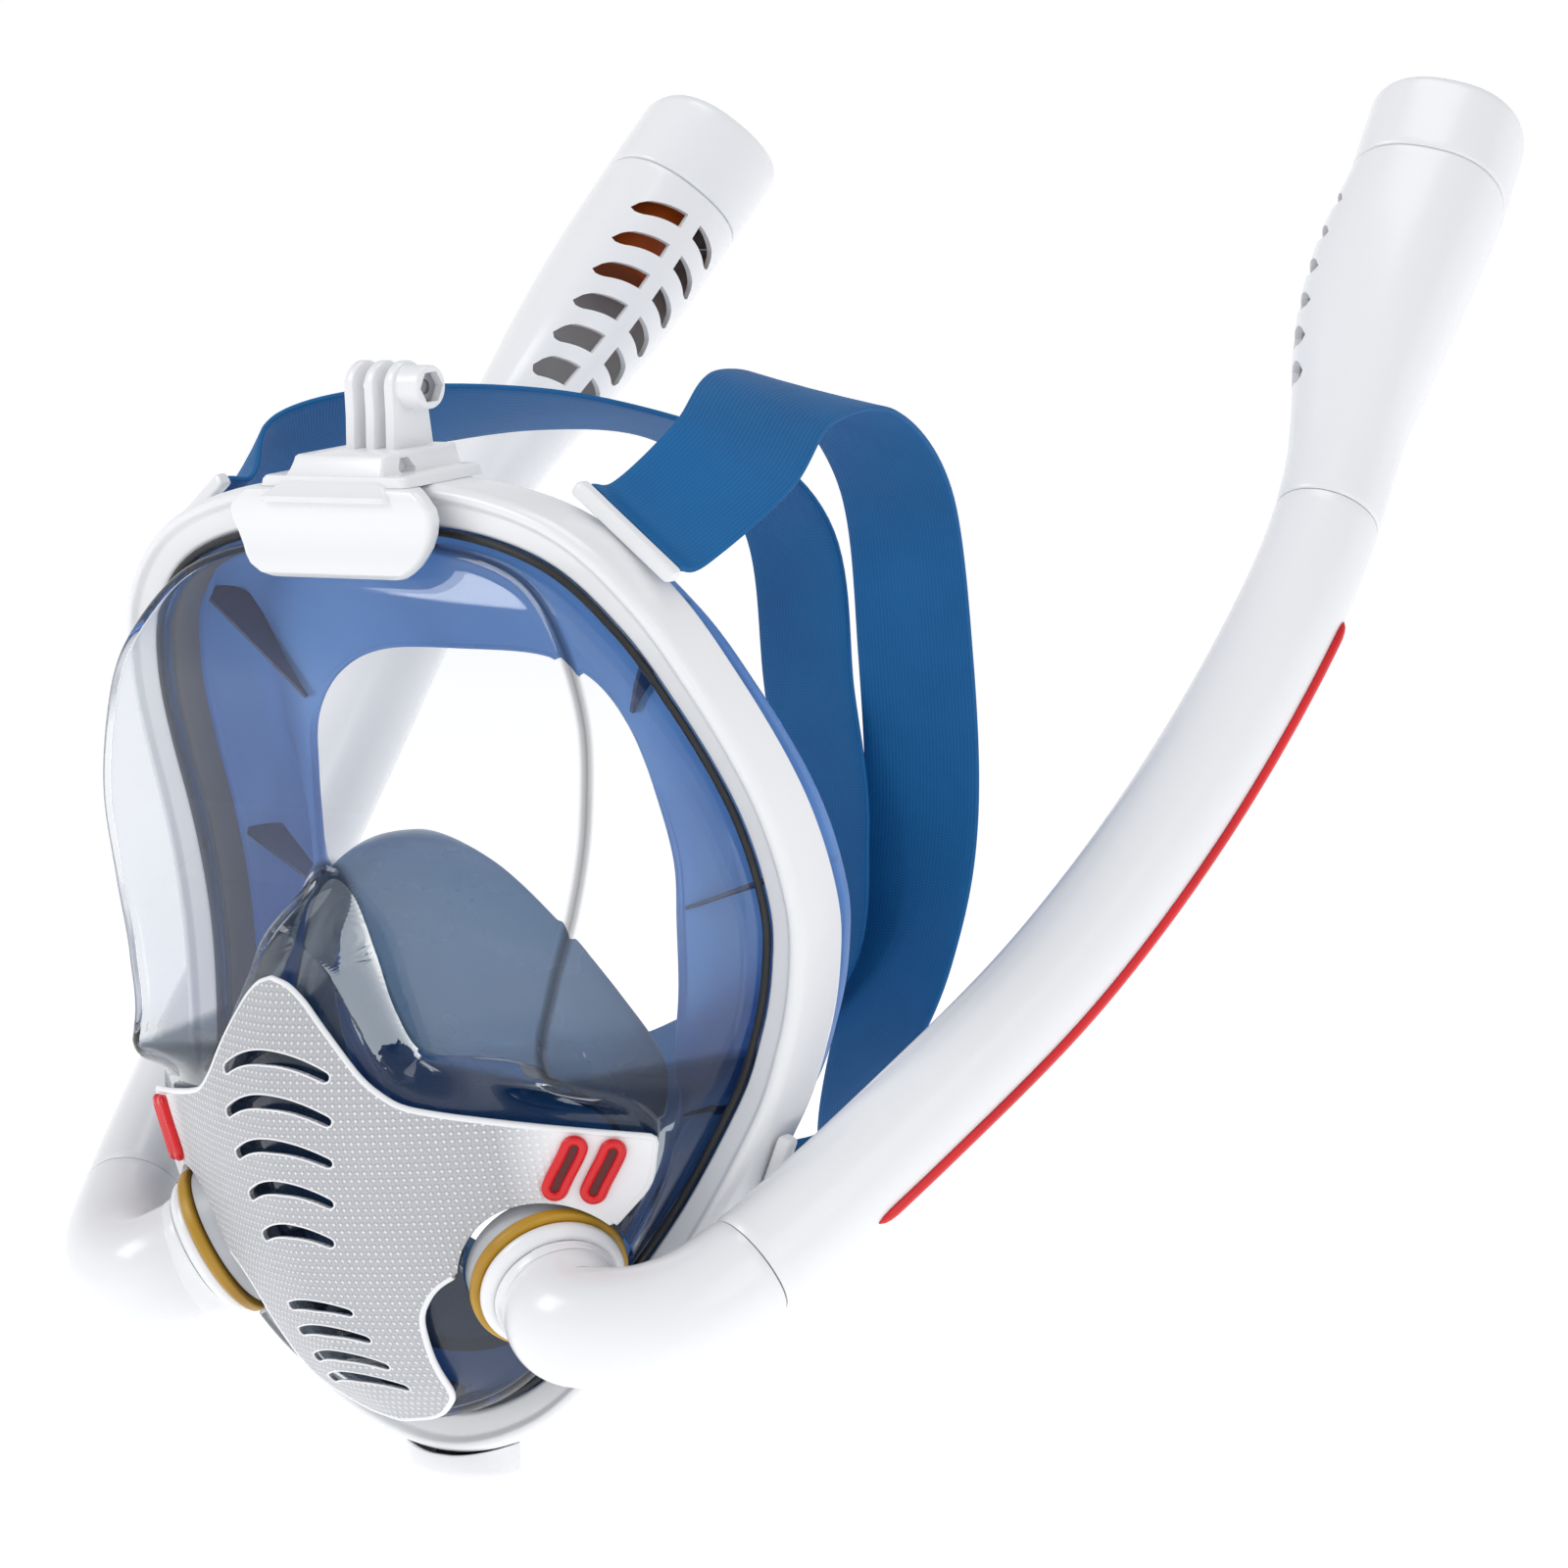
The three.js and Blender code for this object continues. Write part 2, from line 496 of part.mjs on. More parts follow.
// ---- camera mount -------------------------------------------------------------------------
const bracketShape = new THREE.Shape([
  [-37, 131], [-31, 116], [-22, 111.8], [22, 111.8], [31, 116], [37, 131], [30, 137], [-30, 137],
].map((p) => new THREE.Vector2(...p)));
const bracketFace = new THREE.ExtrudeGeometry(bracketShape, { depth: 5, bevelEnabled: false })
  .rotateX(Math.PI / 2).translate(0, -55.4, 0);
add('camera_bracket', join([
  bracketFace, box([52, 6, 11], [0, -53.6, 135.2]), box([48, 31, 3.2], [0, -39, 139.2]),
]), white);
const bolt = new THREE.Vector3(0, -33, 161); // the bolt's line runs across the fingers
const prongRise = 17.5;
const prongShape = new THREE.Shape();
prongShape.absarc(0, prongRise, 7.2, 0, Math.PI);
prongShape.lineTo(-8.4, 0);
prongShape.lineTo(8.4, 0);
const prong = (x, thickness) => new THREE.ExtrudeGeometry(prongShape, {
  depth: thickness, bevelEnabled: false, curveSegments: 8,
}).rotateX(Math.PI / 2).rotateZ(Math.PI / 2).translate(x, bolt.y, bolt.z - prongRise);
const acrossX = new THREE.Vector3(1, 0, 0);
const fingers = join([
  box([27, 22, 3], [0, bolt.y, 142.6]),
  ...[-9, -1.7, 5.6].map((x) => prong(x, 3.4)),
  rod(5.8, 8.6, 17, acrossX, bolt, 20),
]);
add('camera_finger_mount', cut(fingers, [
  rod(2.6, -14, 24, acrossX, bolt, 16), rod(4.8, 12.8, 24, acrossX, bolt, 6),
]), white);
add('finger_nut', cut(rod(4.4, 13.1, 16.6, acrossX, bolt, 6),
  [rod(2.1, 10, 20, acrossX, bolt, 12)]), steel);

// ---- straps -------------------------------------------------------------------------------
// each strap: centre points with the direction of the band's width
const upperLug = 0.088; // share of the way round the frame
const lowerLug = 0.369;
const lugDepth = [14, 19.3]; // behind the frame's front edge
const lugStart = (share, side, behind) => {
  const p = framePoint(share, 3.4, lugDepth[1] + behind);
  const across = framePoint(share + 0.01, 0, 0).sub(framePoint(share - 0.01, 0, 0));
  return [[side * p.x, p.y, p.z], [side * across.x / 10, 0, across.z / 10]];
};
const flip = ([p, w]) => [p, w.map((v) => -v)];
const strapRoute = (side, middle) => [
  lugStart(upperLug, side, 0.6), lugStart(upperLug, side, 12),
  ...middle.map(([[x, y, z], [u, v, w]]) => [[side * x, y, z], [side * u, v, w]]),
  flip(lugStart(lowerLug, side, 12)), flip(lugStart(lowerLug, side, 0.6)),
];
const strapRoutes = {
  head_strap_left: strapRoute(1, [
    [[89, 6, 138], [0.75, 0.2, -0.6]], [[80, 36, 150], [0.8, 0.35, -0.4]],
    [[66, 82, 143], [0.85, 0.3, -0.2]], [[50, 126, 112], [0.95, 0.1, 0]],
    [[36, 148, 60], [0.97, 0.2, 0]], [[26, 158, 8], [0.97, 0.2, 0.1]],
    [[24, 146, -32], [0.95, 0.2, 0.2]], [[42, 104, -58], [0.75, 0.3, 0.55]],
    [[72, 60, -62], [0.5, 0.1, 0.85]], [[94, 28, -60], [0.45, 0, 0.9]],
  ]),
  head_strap_right: strapRoute(-1, [
    [[84, 4, 136], [0.7, 0.35, -0.62]], [[66, 32, 142], [0.72, 0.3, -0.6]],
    [[45, 92, 138], [0.85, 0.35, -0.3]], [[22, 124, 126], [0.95, 0.2, 0]],
    [[4, 142, 98], [0.97, 0.1, 0]], [[4, 147, 50], [0.97, 0.1, 0]],
    [[2, 147, 8], [0.97, 0.1, 0.1]], [[6, 138, -34], [0.95, 0.2, 0.2]],
    [[34, 100, -62], [0.75, 0.3, 0.55]], [[68, 58, -64], [0.5, 0.1, 0.85]],
    [[94, 28, -60], [0.45, 0, 0.9]],
  ]),
};
const strapSolid = (stations) => {
  const centres = openCurve(stations.map(([p]) => p));
  const widths = openCurve(stations.map(([, w]) => w));
  const count = 3 * (stations.length - 1);
  const corner = [[-1, -1], [1, -1], [1, 1], [-1, 1]];
  return loft(Array.from({ length: count + 1 }, (_, i) => {
    const t = i / count;
    const tangent = centres.getTangent(t);
    const across = widths.getPoint(t);
    across.addScaledVector(tangent, -across.dot(tangent)).normalize();
    const through = new THREE.Vector3().crossVectors(tangent, across);
    return corner.map(([a, b]) => centres.getPoint(t)
      .addScaledVector(across, (a * strapWidth) / 2)
      .addScaledVector(through, (b * strapThickness) / 2));
  }), 'capped');
};
Object.entries(strapRoutes).forEach(([name, stations]) => add(name, strapSolid(stations), blueStrap));

// anchors: a lug outside the frame's rear edge that each strap end loops onto
const lug = (share) => {
  const [inner, outer] = [framePoint(share, 0.5, 0), framePoint(share, 5.5, 0)];
  const outward = outer.clone().sub(inner).normalize();
  const lengthwise = new THREE.Vector3().crossVectors(outward, back);
  const depth = lugDepth[1] - lugDepth[0];
  const middle = framePoint(share, 2.7, (lugDepth[0] + lugDepth[1]) / 2);
  return new THREE.BoxGeometry(4, depth, strapWidth + 5)
    .applyMatrix4(new THREE.Matrix4().makeBasis(outward, back, lengthwise))
    .translate(middle.x, middle.y, middle.z);
};
addPair('upper_strap_anchor', lug(upperLug), white);
addPair('lower_strap_anchor', lug(lowerLug), white);

export default snorkel;
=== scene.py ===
"""The looks of a full face snorkel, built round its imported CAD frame.

Shapes are worked out in millimetres in the part's own frame (+Z up, the wearer looks along -Y,
+X is the wearer's left) and turned into metres when a mesh is made.
"""

import math

import bmesh
import bpy
import numpy as np
from mathutils import Matrix, Vector


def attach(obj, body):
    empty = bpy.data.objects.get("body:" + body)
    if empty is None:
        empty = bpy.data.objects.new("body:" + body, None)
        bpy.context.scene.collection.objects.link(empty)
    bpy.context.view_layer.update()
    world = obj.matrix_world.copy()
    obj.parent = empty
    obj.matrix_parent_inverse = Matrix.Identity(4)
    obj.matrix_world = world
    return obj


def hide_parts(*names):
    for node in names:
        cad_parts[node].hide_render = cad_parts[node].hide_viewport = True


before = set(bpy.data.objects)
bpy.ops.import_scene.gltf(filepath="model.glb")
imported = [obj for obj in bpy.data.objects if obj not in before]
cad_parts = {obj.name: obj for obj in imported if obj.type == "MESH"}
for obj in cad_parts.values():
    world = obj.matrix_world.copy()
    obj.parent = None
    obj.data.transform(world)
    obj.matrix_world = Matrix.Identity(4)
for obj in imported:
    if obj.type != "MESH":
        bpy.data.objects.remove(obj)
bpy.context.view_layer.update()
MM = 0.001

# ---- driving dimensions ----
FRAME_TOP = 137
FRAME_HALF_WIDTH = 116
FRONT_AT_MIDDLE = -47
SIDE_SWEEP = 34
LENS_THICKNESS = 2.3
WINDOW_HALF_WIDTH = 88
WINDOW_CROWN = 4
ARCH_RISE, ARCH_HALF_WIDTH = 43, 27  # of the ridge over the nose
SHELF_RISE, SHELF_HALF_WIDTH = 48, 18  # of the shelf behind that ridge
COVER_LIFT = 2.8
COVER_THICKNESS = 2.0
PORT_CENTRE = np.array([60, -61.5, -77])
PORT_AXIS = np.array([0.76, -0.47, -0.44]) / np.linalg.norm([0.76, -0.47, -0.44])
PORT_RADIUS = 21
RING_RADIUS = 22.7
ELBOW_RADIUS = 17.5
TUBE_RADIUS = 15.2
TUBE_WALL = 2.2
TUBE_TOP = np.array([157, 204.5, 122.5])
HOUSING_AXIS = np.array([-13, 64.2, 61]) / np.linalg.norm([-13, 64.2, 61])
HOUSING_LENGTH = 87
CAP_HALF = (23.3, 23)
CAP_LENGTH = 29
FLOAT_RADIUS = 12.5
FLOAT_BASE = 56.5
FLOAT_LENGTH = 30
FLOAT_RISE = 12
STRAP_WIDTH = 37
STRAP_THICKNESS = 1.6
FRAME_STATIONS = 320  # sections round a piece that follows the frame
SIDES = {"left": 1, "right": -1}

FRAME_HALF = [
    (0, 137), (40, 135), (72, 125), (93, 106), (105, 82), (113, 52), (116, 20),
    (115, 0), (112, -20), (106, -42), (90, -74), (66, -103), (36, -127), (0, -137),
]
LENS_HALF = [
    (0, 122), (32, 121), (62, 113), (80, 96), (88.5, 76), (90, 50), (85.5, 26),
    (79, 4), (77, -16), (93, -38), (79, -72), (58, -97), (32, -116), (0, -124),
]
LIP_HALF = [
    (0, 87), (30, 86), (48, 79), (59, 66), (64, 48), (67, 28), (67, 10),
    (66, -8), (63, -25), (57, -45), (47, -65), (34, -82), (19, -93), (0, -98),
]
CUP_FRONT_HALF = [
    (0, -69, 33), (8, -69, 27), (14, -69, 12), (20, -69, -4), (28, -68, -15.5), (42, -64, -17),
    (58, -56.5, -20.5), (74, -46, -36), (74, -40, -52), (66, -38, -70), (50, -38, -88),
    (27, -37, -103), (0, -37, -109),
]
CUP_REAR_HALF = [
    (0, -32, 38), (22, -29, 30), (41, -24, 12), (54, -17, -8), (61, -9, -27), (58, -6, -43),
    (50, -6, -58), (38, -7, -72), (21, -8, -85), (0, -9, -90),
]
BOX_MIDDLE = [  # the mouth box on the centre line: z, y
    (8, -93), (-18, -98.5), (-30, -99), (-52, -95.5), (-78, -89), (-95, -81), (-110, -70), (-124, -54),
]
WINDOW_LEAN = [  # the window leans back towards its top: z, y
    (115, -49.5), (103, -55), (88, -60.5), (70, -63.5), (55, -66), (28, -68.5), (-14, -75),
]
LIP_DEPTH = [  # how far back the face lip lies: z, y
    (87, -9), (66, -8), (48, -5), (28, -2), (10, -2), (-8, -2), (-25, -2), (-45, 3), (-65, 4.7),
    (-82, -1.9), (-98, -3),
]
COVER_HALF = [  # the mouth cover's outline: x, z
    (0, 8), (5, 6.5), (10, 2.5), (20, -9.5), (28, -20), (36, -26.5), (46, -29), (67, -33.3),
    (92, -38.3), (89, -51), (78.5, -63), (60, -66), (47, -71), (35, -78), (29, -86), (26, -100),
    (24.5, -113), (14, -121), (0, -123),
]
# slots in the cover: height of the middle, how far the ends droop, half width
COVER_SLOTS = [
    (-12.6, 5, 18), (-24.6, 5, 18), (-36.9, 4.4, 16.4), (-49, 4, 14.2), (-61.4, 3, 11.8),
    (-83.8, 1.6, 10.6), (-91.6, 2.2, 12), (-99.8, 2.8, 12.6), (-107, 3, 13.4),
]


# ---- curves and surfaces ----
def spline(points, closed=False):
    """A uniform Catmull-Rom curve through the points, as a function of 0..1."""
    p = np.array(points, float)
    n = len(p)
    ends = p if closed else np.vstack([2 * p[0] - p[1], p, 2 * p[-1] - p[-2]])

    def at(t):
        t = np.atleast_1d(np.asarray(t, float))
        if closed:
            s = (t % 1.0) * n
            i = np.floor(s).astype(int)
            q = [ends[(i + k) % n] for k in (-1, 0, 1, 2)]
        else:
            s = t * (n - 1)
            i = np.clip(np.floor(s).astype(int), 0, n - 2)
            q = [ends[i + k] for k in range(4)]
        w = (s - i)[:, None]
        b, c = (q[2] - q[0]) / 2, q[0] - 2.5 * q[1] + 2 * q[2] - 0.5 * q[3]
        return q[1] + b * w + c * w**2 + (1.5 * (q[1] - q[2]) + (q[3] - q[0]) / 2) * w**3

    return at


def unit_rows(v):
    return v / np.linalg.norm(v, axis=1, keepdims=True)


def tangents(curve, t):
    step = 1e-4
    return unit_rows(curve(np.asarray(t) + step) - curve(np.asarray(t) - step))


def both_halves(half):
    """The closed outline whose +X half this is."""
    other = [(-p[0], *p[1:]) for p in half[-2:0:-1]]
    return list(half) + other


def smooth_table(table):
    """A smooth function through the rows of a table of (where, value)."""
    rows = np.array(sorted(table), float)
    x, y = rows.T
    slope = np.gradient(y, x)

    def at(t):
        t = np.clip(np.asarray(t, float), x[0], x[-1])
        i = np.clip(np.searchsorted(x, t) - 1, 0, len(x) - 2)
        h = x[i + 1] - x[i]
        u = (t - x[i]) / h
        return (
            (2 * u**3 - 3 * u**2 + 1) * y[i]
            + (u**3 - 2 * u**2 + u) * h * slope[i]
            + (3 * u**2 - 2 * u**3) * y[i + 1]
            + (u**3 - u**2) * h * slope[i + 1]
        )

    return at


def rounded(points, radius, steps=5, closed=True):
    """The outline with each corner turned into a curve that starts radius away from it."""
    p = np.array(points, float)
    n = len(p)
    radii = np.broadcast_to(radius, n)
    out = []
    for i in range(n):
        if radii[i] <= 0 or (not closed and i in (0, n - 1)):
            out.append(p[i])
            continue
        a, b = p[i - 1] - p[i], p[(i + 1) % n] - p[i]
        la, lb = np.linalg.norm(a), np.linalg.norm(b)
        r = min(radii[i], 0.46 * la, 0.46 * lb)
        start, end = p[i] + a / la * r, p[i] + b / lb * r
        for t in np.linspace(0, 1, steps):
            out.append((1 - t) ** 2 * start + 2 * t * (1 - t) * p[i] + t * t * end)
    return np.array(out)


def run_along(points):
    """The length of the polyline up to each of its points."""
    return np.concatenate([[0], np.cumsum(np.linalg.norm(np.diff(points, axis=0), axis=1))])


def evenly(points, step, closed=False):
    """Points about a step apart along the polyline."""
    p = np.array(points, float)
    if closed:
        p = np.vstack([p, p[:1]])
    run = run_along(p)
    count = max(2, int(round(run[-1] / step)) + 1)
    at = np.linspace(0, run[-1], count)
    made = np.stack([np.interp(at, run, p[:, k]) for k in range(p.shape[1])], 1)
    return made[:-1] if closed else made


def smoothstep(t):
    t = np.clip(t, 0, 1)
    return t * t * (3 - 2 * t)


def unit(v):
    return np.asarray(v, float) / np.linalg.norm(v)


def square_to(v, axis):
    """The unit vector nearest to v that is square to the axis."""
    return unit(v - np.dot(v, axis) * axis)


def with_depth(outline, y):
    """The (x, z) outline as points at depth y."""
    p = np.asarray(outline)
    return np.stack([p[:, 0], np.broadcast_to(y, len(p)), p[:, 1]], 1)


def loft(rings, through=False, caps=False):
    """(points, faces) of closed rings joined one to the next. through joins the last to the first,
    and caps close the two ends."""
    rings = np.asarray(rings, float)
    r, n = rings.shape[:2]
    points = rings.reshape(-1, 3)
    faces = []
    for i in range(r if through else r - 1):
        a, b = i * n, ((i + 1) % r) * n
        for k in range(n):
            j = (k + 1) % n
            faces.append((a + k, a + j, b + j, b + k))
    if caps:
        faces.append(tuple(range(n))[::-1])
        faces.append(tuple(range((r - 1) * n, r * n)))
    return points, faces


def joined(*shapes):
    points, faces, start = [], [], 0
    for p, f in shapes:
        points.append(p)
        faces += [tuple(i + start for i in face) for face in f]
        start += len(p)
    return np.vstack(points), faces


def mirrored(shape):
    return shape[0] * [-1, 1, 1], [f[::-1] for f in shape[1]]


def on_side(shape, side):
    return shape if side > 0 else mirrored(shape)


def axes_of(axis):
    """Two unit vectors square to the axis and to each other."""
    axis = unit(axis)
    a = unit(np.cross(axis, [0, 0, 1] if abs(axis[2]) < 0.9 else [1, 0, 0]))
    return a, np.cross(axis, a)


def circle(a, b, sides):
    """A circle of radius 1 spanned by two axes."""
    angle = np.linspace(0, 2 * np.pi, sides, endpoint=False)
    return np.cos(angle)[:, None] * a + np.sin(angle)[:, None] * b


def turned(profile, axis, origin, sides=96, closed=True):
    """The (radius, height) profile turned about an axis."""
    ring = circle(*axes_of(axis), sides)
    rings = [np.asarray(origin) + np.asarray(axis) * s + max(r, 1e-3) * ring for r, s in profile]
    return loft(rings, through=closed)


def rod(radius, low, high, axis, origin, sides=96):
    """A solid rod along an axis. With 6 sides it is a hexagon."""
    profile = [(0, low), (radius, low), (radius, high), (0, high)]
    return turned(profile, axis, origin, sides, closed=False)


def box_outline(near, far, low, high, radius, steps=4):
    return rounded([(near, low), (far, low), (far, high), (near, high)], radius, steps)


def disc_profile(outer, low, high, radius, steps=4):
    corners = [(0, low), (outer, low), (outer, high), (0, high)]
    return rounded(corners, [0, radius, radius, 0], steps, closed=False)


def carried_axes(line):
    """Two cross axes at each point of a line, carried along without twist."""
    tangent = unit_rows(np.gradient(line, axis=0))
    normal = axes_of(tangent[0])[0]
    first, second = [], []
    for t in tangent:
        normal = square_to(normal, t)
        first.append(normal)
        second.append(np.cross(t, normal))
    return np.array(first), np.array(second)


def tube_round(line, radius, sides=16, closed=False):
    """A round bead along a line."""
    line = np.asarray(line, float)
    if closed:
        line = np.vstack([line[-2:], line, line[:2]])
    a, b = carried_axes(line)
    if closed:
        line, a, b = line[2:-2], a[2:-2], b[2:-2]
    rings = [line[i] + radius * circle(a[i], b[i], sides) for i in range(len(line))]
    return loft(rings, through=closed, caps=not closed)


# ---- Blender objects ----
def raw_object(name, shape):
    mesh = bpy.data.meshes.new(name)
    mesh.from_pydata((shape[0] * MM).tolist(), [], [tuple(int(i) for i in f) for f in shape[1]])
    work = bmesh.new()
    work.from_mesh(mesh)
    bmesh.ops.remove_doubles(work, verts=work.verts, dist=1e-6)
    bmesh.ops.recalc_face_normals(work, faces=work.faces)
    work.to_mesh(mesh)
    work.free()
    obj = bpy.data.objects.new(name, mesh)
    bpy.context.scene.collection.objects.link(obj)
    return obj


def apply_modifiers(obj):
    bpy.context.view_layer.update()
    evaluated = obj.evaluated_get(bpy.context.evaluated_depsgraph_get())
    made = bpy.data.meshes.new_from_object(evaluated)
    obj.modifiers.clear()
    old, obj.data = obj.data, made
    bpy.data.meshes.remove(old)


def cut(obj, tools):
    """Cuts the tool shapes out of the object."""
    for i, shape in enumerate(tools):
        tool = raw_object(f"tool_{i}", shape)
        step = obj.modifiers.new("cut", "BOOLEAN")
        step.operation, step.solver, step.object = "DIFFERENCE", "EXACT", tool
        apply_modifiers(obj)
        bpy.data.objects.remove(tool)


def paint(mesh, name, values):
    """Gives each vertex a value that the materials read by name."""
    layer = mesh.attributes.new(name, "FLOAT", "POINT")
    layer.data.foreach_set("value", values.astype(np.float32))


def finish_piece(obj, look, body, nodes=(), sharp=38):
    mesh = obj.data
    mesh.polygons.foreach_set("use_smooth", np.ones(len(mesh.polygons), bool))
    mesh.set_sharp_from_angle(angle=math.radians(sharp))
    mesh.materials.clear()
    for m in look if isinstance(look, (list, tuple)) else [look]:
        mesh.materials.append(m)
    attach(obj, body)
    if nodes:
        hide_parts(*nodes)
    return obj


def piece(name, shape, look, body, nodes=(), sharp=38):
    return finish_piece(raw_object(name, shape), look, body, nodes, sharp)


def side_piece(stem, side, shape, look, body, node, sharp=38):
    """One of a pair. The shape is the left one's."""
    shape = on_side(shape, SIDES[side])
    piece(f"{stem}_{side}", shape, look, body, [f"{node}_{side}"], sharp)


# ---- materials ----
def srgb(r, g, b):
    """A colour given in 0..255 display values, as the linear RGBA that shaders use."""
    linear = [((c / 255 + 0.055) / 1.055) ** 2.4 if c > 10 else c / 255 / 12.92 for c in (r, g, b)]
    return (*linear, 1)


class Look:
    """A material with one Principled shader and helpers that add nodes to it. Its colour, mottle and
    lamp tint are given in display values."""

    def __init__(self, name, colour, roughness, **inputs):
        self.material = bpy.data.materials.new(name)
        self.material.use_nodes = True
        self.tree = self.material.node_tree
        self.shader = self.tree.nodes["Principled BSDF"]
        self.set(self.shader, "Base Color", srgb(*colour))
        self.set(self.shader, "Roughness", roughness)
        for key, value in inputs.items():
            self.set(self.shader, key.replace("_", " "), value)

    def set(self, node, key, value):
        node.inputs[key].default_value = value

    def node(self, kind, **inputs):
        made = self.tree.nodes.new(kind)
        for key, value in inputs.items():
            self.set(made, key.replace("_", " "), value)
        return made

    def link(self, out, into):
        self.tree.links.new(out, into)

    def drive(self, key, out):
        self.link(out, self.shader.inputs[key])

    def place(self):
        return self.node("ShaderNodeTexCoord").outputs["Object"]

    def noise(self, scale, detail=3.0):
        made = self.node("ShaderNodeTexNoise", Scale=scale, Detail=detail, Roughness=0.5)
        self.link(self.place(), made.inputs["Vector"])
        return made.outputs["Fac"]

    def attribute(self, name):
        made = self.node("ShaderNodeAttribute")
        made.attribute_name = name
        return made

    def span(self, value, low, high, start=0.3, end=0.7):
        made = self.node("ShaderNodeMapRange")
        for key, number in zip(("From Min", "From Max", "To Min", "To Max"), (start, end, low, high)):
            made.inputs[key].default_value = number
        self.link(value, made.inputs["Value"])
        return made.outputs["Result"]

    def mix(self, share, a, b):
        made = self.tree.nodes.new("ShaderNodeMix")
        made.data_type = "RGBA"
        for index, value in ((0, share), (6, a), (7, b)):
            if isinstance(value, bpy.types.NodeSocket):
                self.link(value, made.inputs[index])
            else:
                made.inputs[index].default_value = value
        return made.outputs[2]

    def maths(self, kind, a, b=None):
        made = self.node("ShaderNodeMath")
        made.operation = kind
        for index, value in ((0, a), (1, b)):
            if isinstance(value, bpy.types.NodeSocket):
                self.link(value, made.inputs[index])
            elif value is not None:
                made.inputs[index].default_value = value
        return made.outputs[0]

    def bump(self, height, strength, distance):
        made = self.node("ShaderNodeBump", Strength=strength, Distance=distance)
        self.link(height, made.inputs["Height"])
        self.drive("Normal", made.outputs["Normal"])

    def mottle(self, dark, light, scale, low, high):
        """Faint variation of colour and roughness over the surface."""
        value = self.noise(scale)
        self.drive("Base Color", self.mix(self.span(value, 0, 1), srgb(*dark), srgb(*light)))
        self.drive("Roughness", self.span(self.noise(scale * 4), low, high))

    def let_lamps_through(self, tint):
        """Light from lamps passes as through a clear sheet."""
        path = self.tree.nodes.new("ShaderNodeLightPath")
        clear = self.node("ShaderNodeBsdfTransparent", Color=srgb(*tint))
        mixer = self.tree.nodes.new("ShaderNodeMixShader")
        self.link(path.outputs["Is Shadow Ray"], mixer.inputs[0])
        self.link(self.shader.outputs[0], mixer.inputs[1])
        self.link(clear.outputs[0], mixer.inputs[2])
        output = self.tree.nodes["Material Output"]
        self.link(mixer.outputs[0], output.inputs["Surface"])


def white_plastic():
    look = Look("white_plastic", (234, 235, 237), 0.26, Coat_Weight=0.25, Coat_Roughness=0.14)
    look.mottle((235, 236, 238), (236, 237, 239), 6, 0.255, 0.265)
    look.bump(look.noise(500, 2), 0.008, 0.0002)
    return look.material


def woven_white():
    """Moulded white plastic with rows of small raised diamonds that fade out at the cover's ends, with
    painted shade darkening the valleys between them.
    """
    look = Look("woven_white", (222, 223, 225), 0.42)
    look.drive("Roughness", look.span(look.noise(140), 0.36, 0.48))
    split = look.node("ShaderNodeSeparateXYZ")
    look.link(look.place(), split.inputs[0])
    pitch = math.pi / 0.0019
    wide = look.maths("MULTIPLY", split.outputs["X"], pitch)
    tall = look.maths("MULTIPLY", split.outputs["Z"], pitch * 0.9)
    one = look.maths("SINE", look.maths("ADD", wide, tall))
    two = look.maths("SINE", look.maths("SUBTRACT", wide, tall))
    dots = look.span(look.maths("MULTIPLY", one, two), 0, 1, -0.1, 0.9)
    ends = look.span(look.maths("ABSOLUTE", split.outputs["X"]), 1, 0, 0.058, 0.072)
    cloud = look.mix(look.span(look.noise(35), 0, 1), srgb(236, 237, 239), srgb(241, 242, 244))
    # painted shade: the valleys between the diamonds are coloured darker grey, imitating the shade that
    # falls in them
    valley_shade = look.maths("MULTIPLY", look.maths("SUBTRACT", 1.0, dots), ends)
    woven = look.mix(look.maths("MULTIPLY", valley_shade, 0.8), cloud, srgb(164, 166, 172))
    look.drive("Base Color", woven)
    look.bump(look.maths("MULTIPLY", dots, ends), 0.9, 0.0008)
    return look.material


def clear_lens():
    """Clear polycarbonate above and smoked below, shared by one moulding. Painted shade darkens both at
    grazing angles, and a painted dark reflection line runs along the window's front corner.
    """
    look = Look("clear_lens", (250, 251, 252), 0.015, IOR=1.07, Transmission_Weight=1.0, Coat_Weight=0.9)
    smoke = look.attribute("smoke")
    # painted shade: edge rises towards grazing angles and darkens the clear tint there, imitating the
    # dark outlines that refraction gives at the lens's curves
    facing = look.node("ShaderNodeLayerWeight", Blend=0.5)
    edge = look.maths("POWER", facing.outputs["Facing"], 4.0)
    clear = look.mix(edge, srgb(251, 252, 253), srgb(206, 210, 217))
    cloud = look.span(look.noise(14), 0, 1)
    smoked = look.mix(cloud, srgb(134, 144, 154), srgb(152, 161, 170))
    # painted shade: the smoked tint also darkens to near black at grazing angles
    smoked = look.mix(edge, smoked, srgb(30, 33, 38))
    # painted reflection: the corner attribute lays a near-black line along the window's front bend,
    # imitating the dark surroundings its polished edge reflects
    corner = look.maths("MULTIPLY", look.attribute("corner").outputs["Fac"], 0.92)
    clear = look.mix(corner, clear, srgb(28, 31, 38))
    tint = look.mix(smoke.outputs["Fac"], clear, smoked)
    look.drive("Base Color", tint)
    look.drive("Roughness", look.span(look.noise(60), 0.005, 0.03))
    look.let_lamps_through((225, 228, 232))
    return look.material


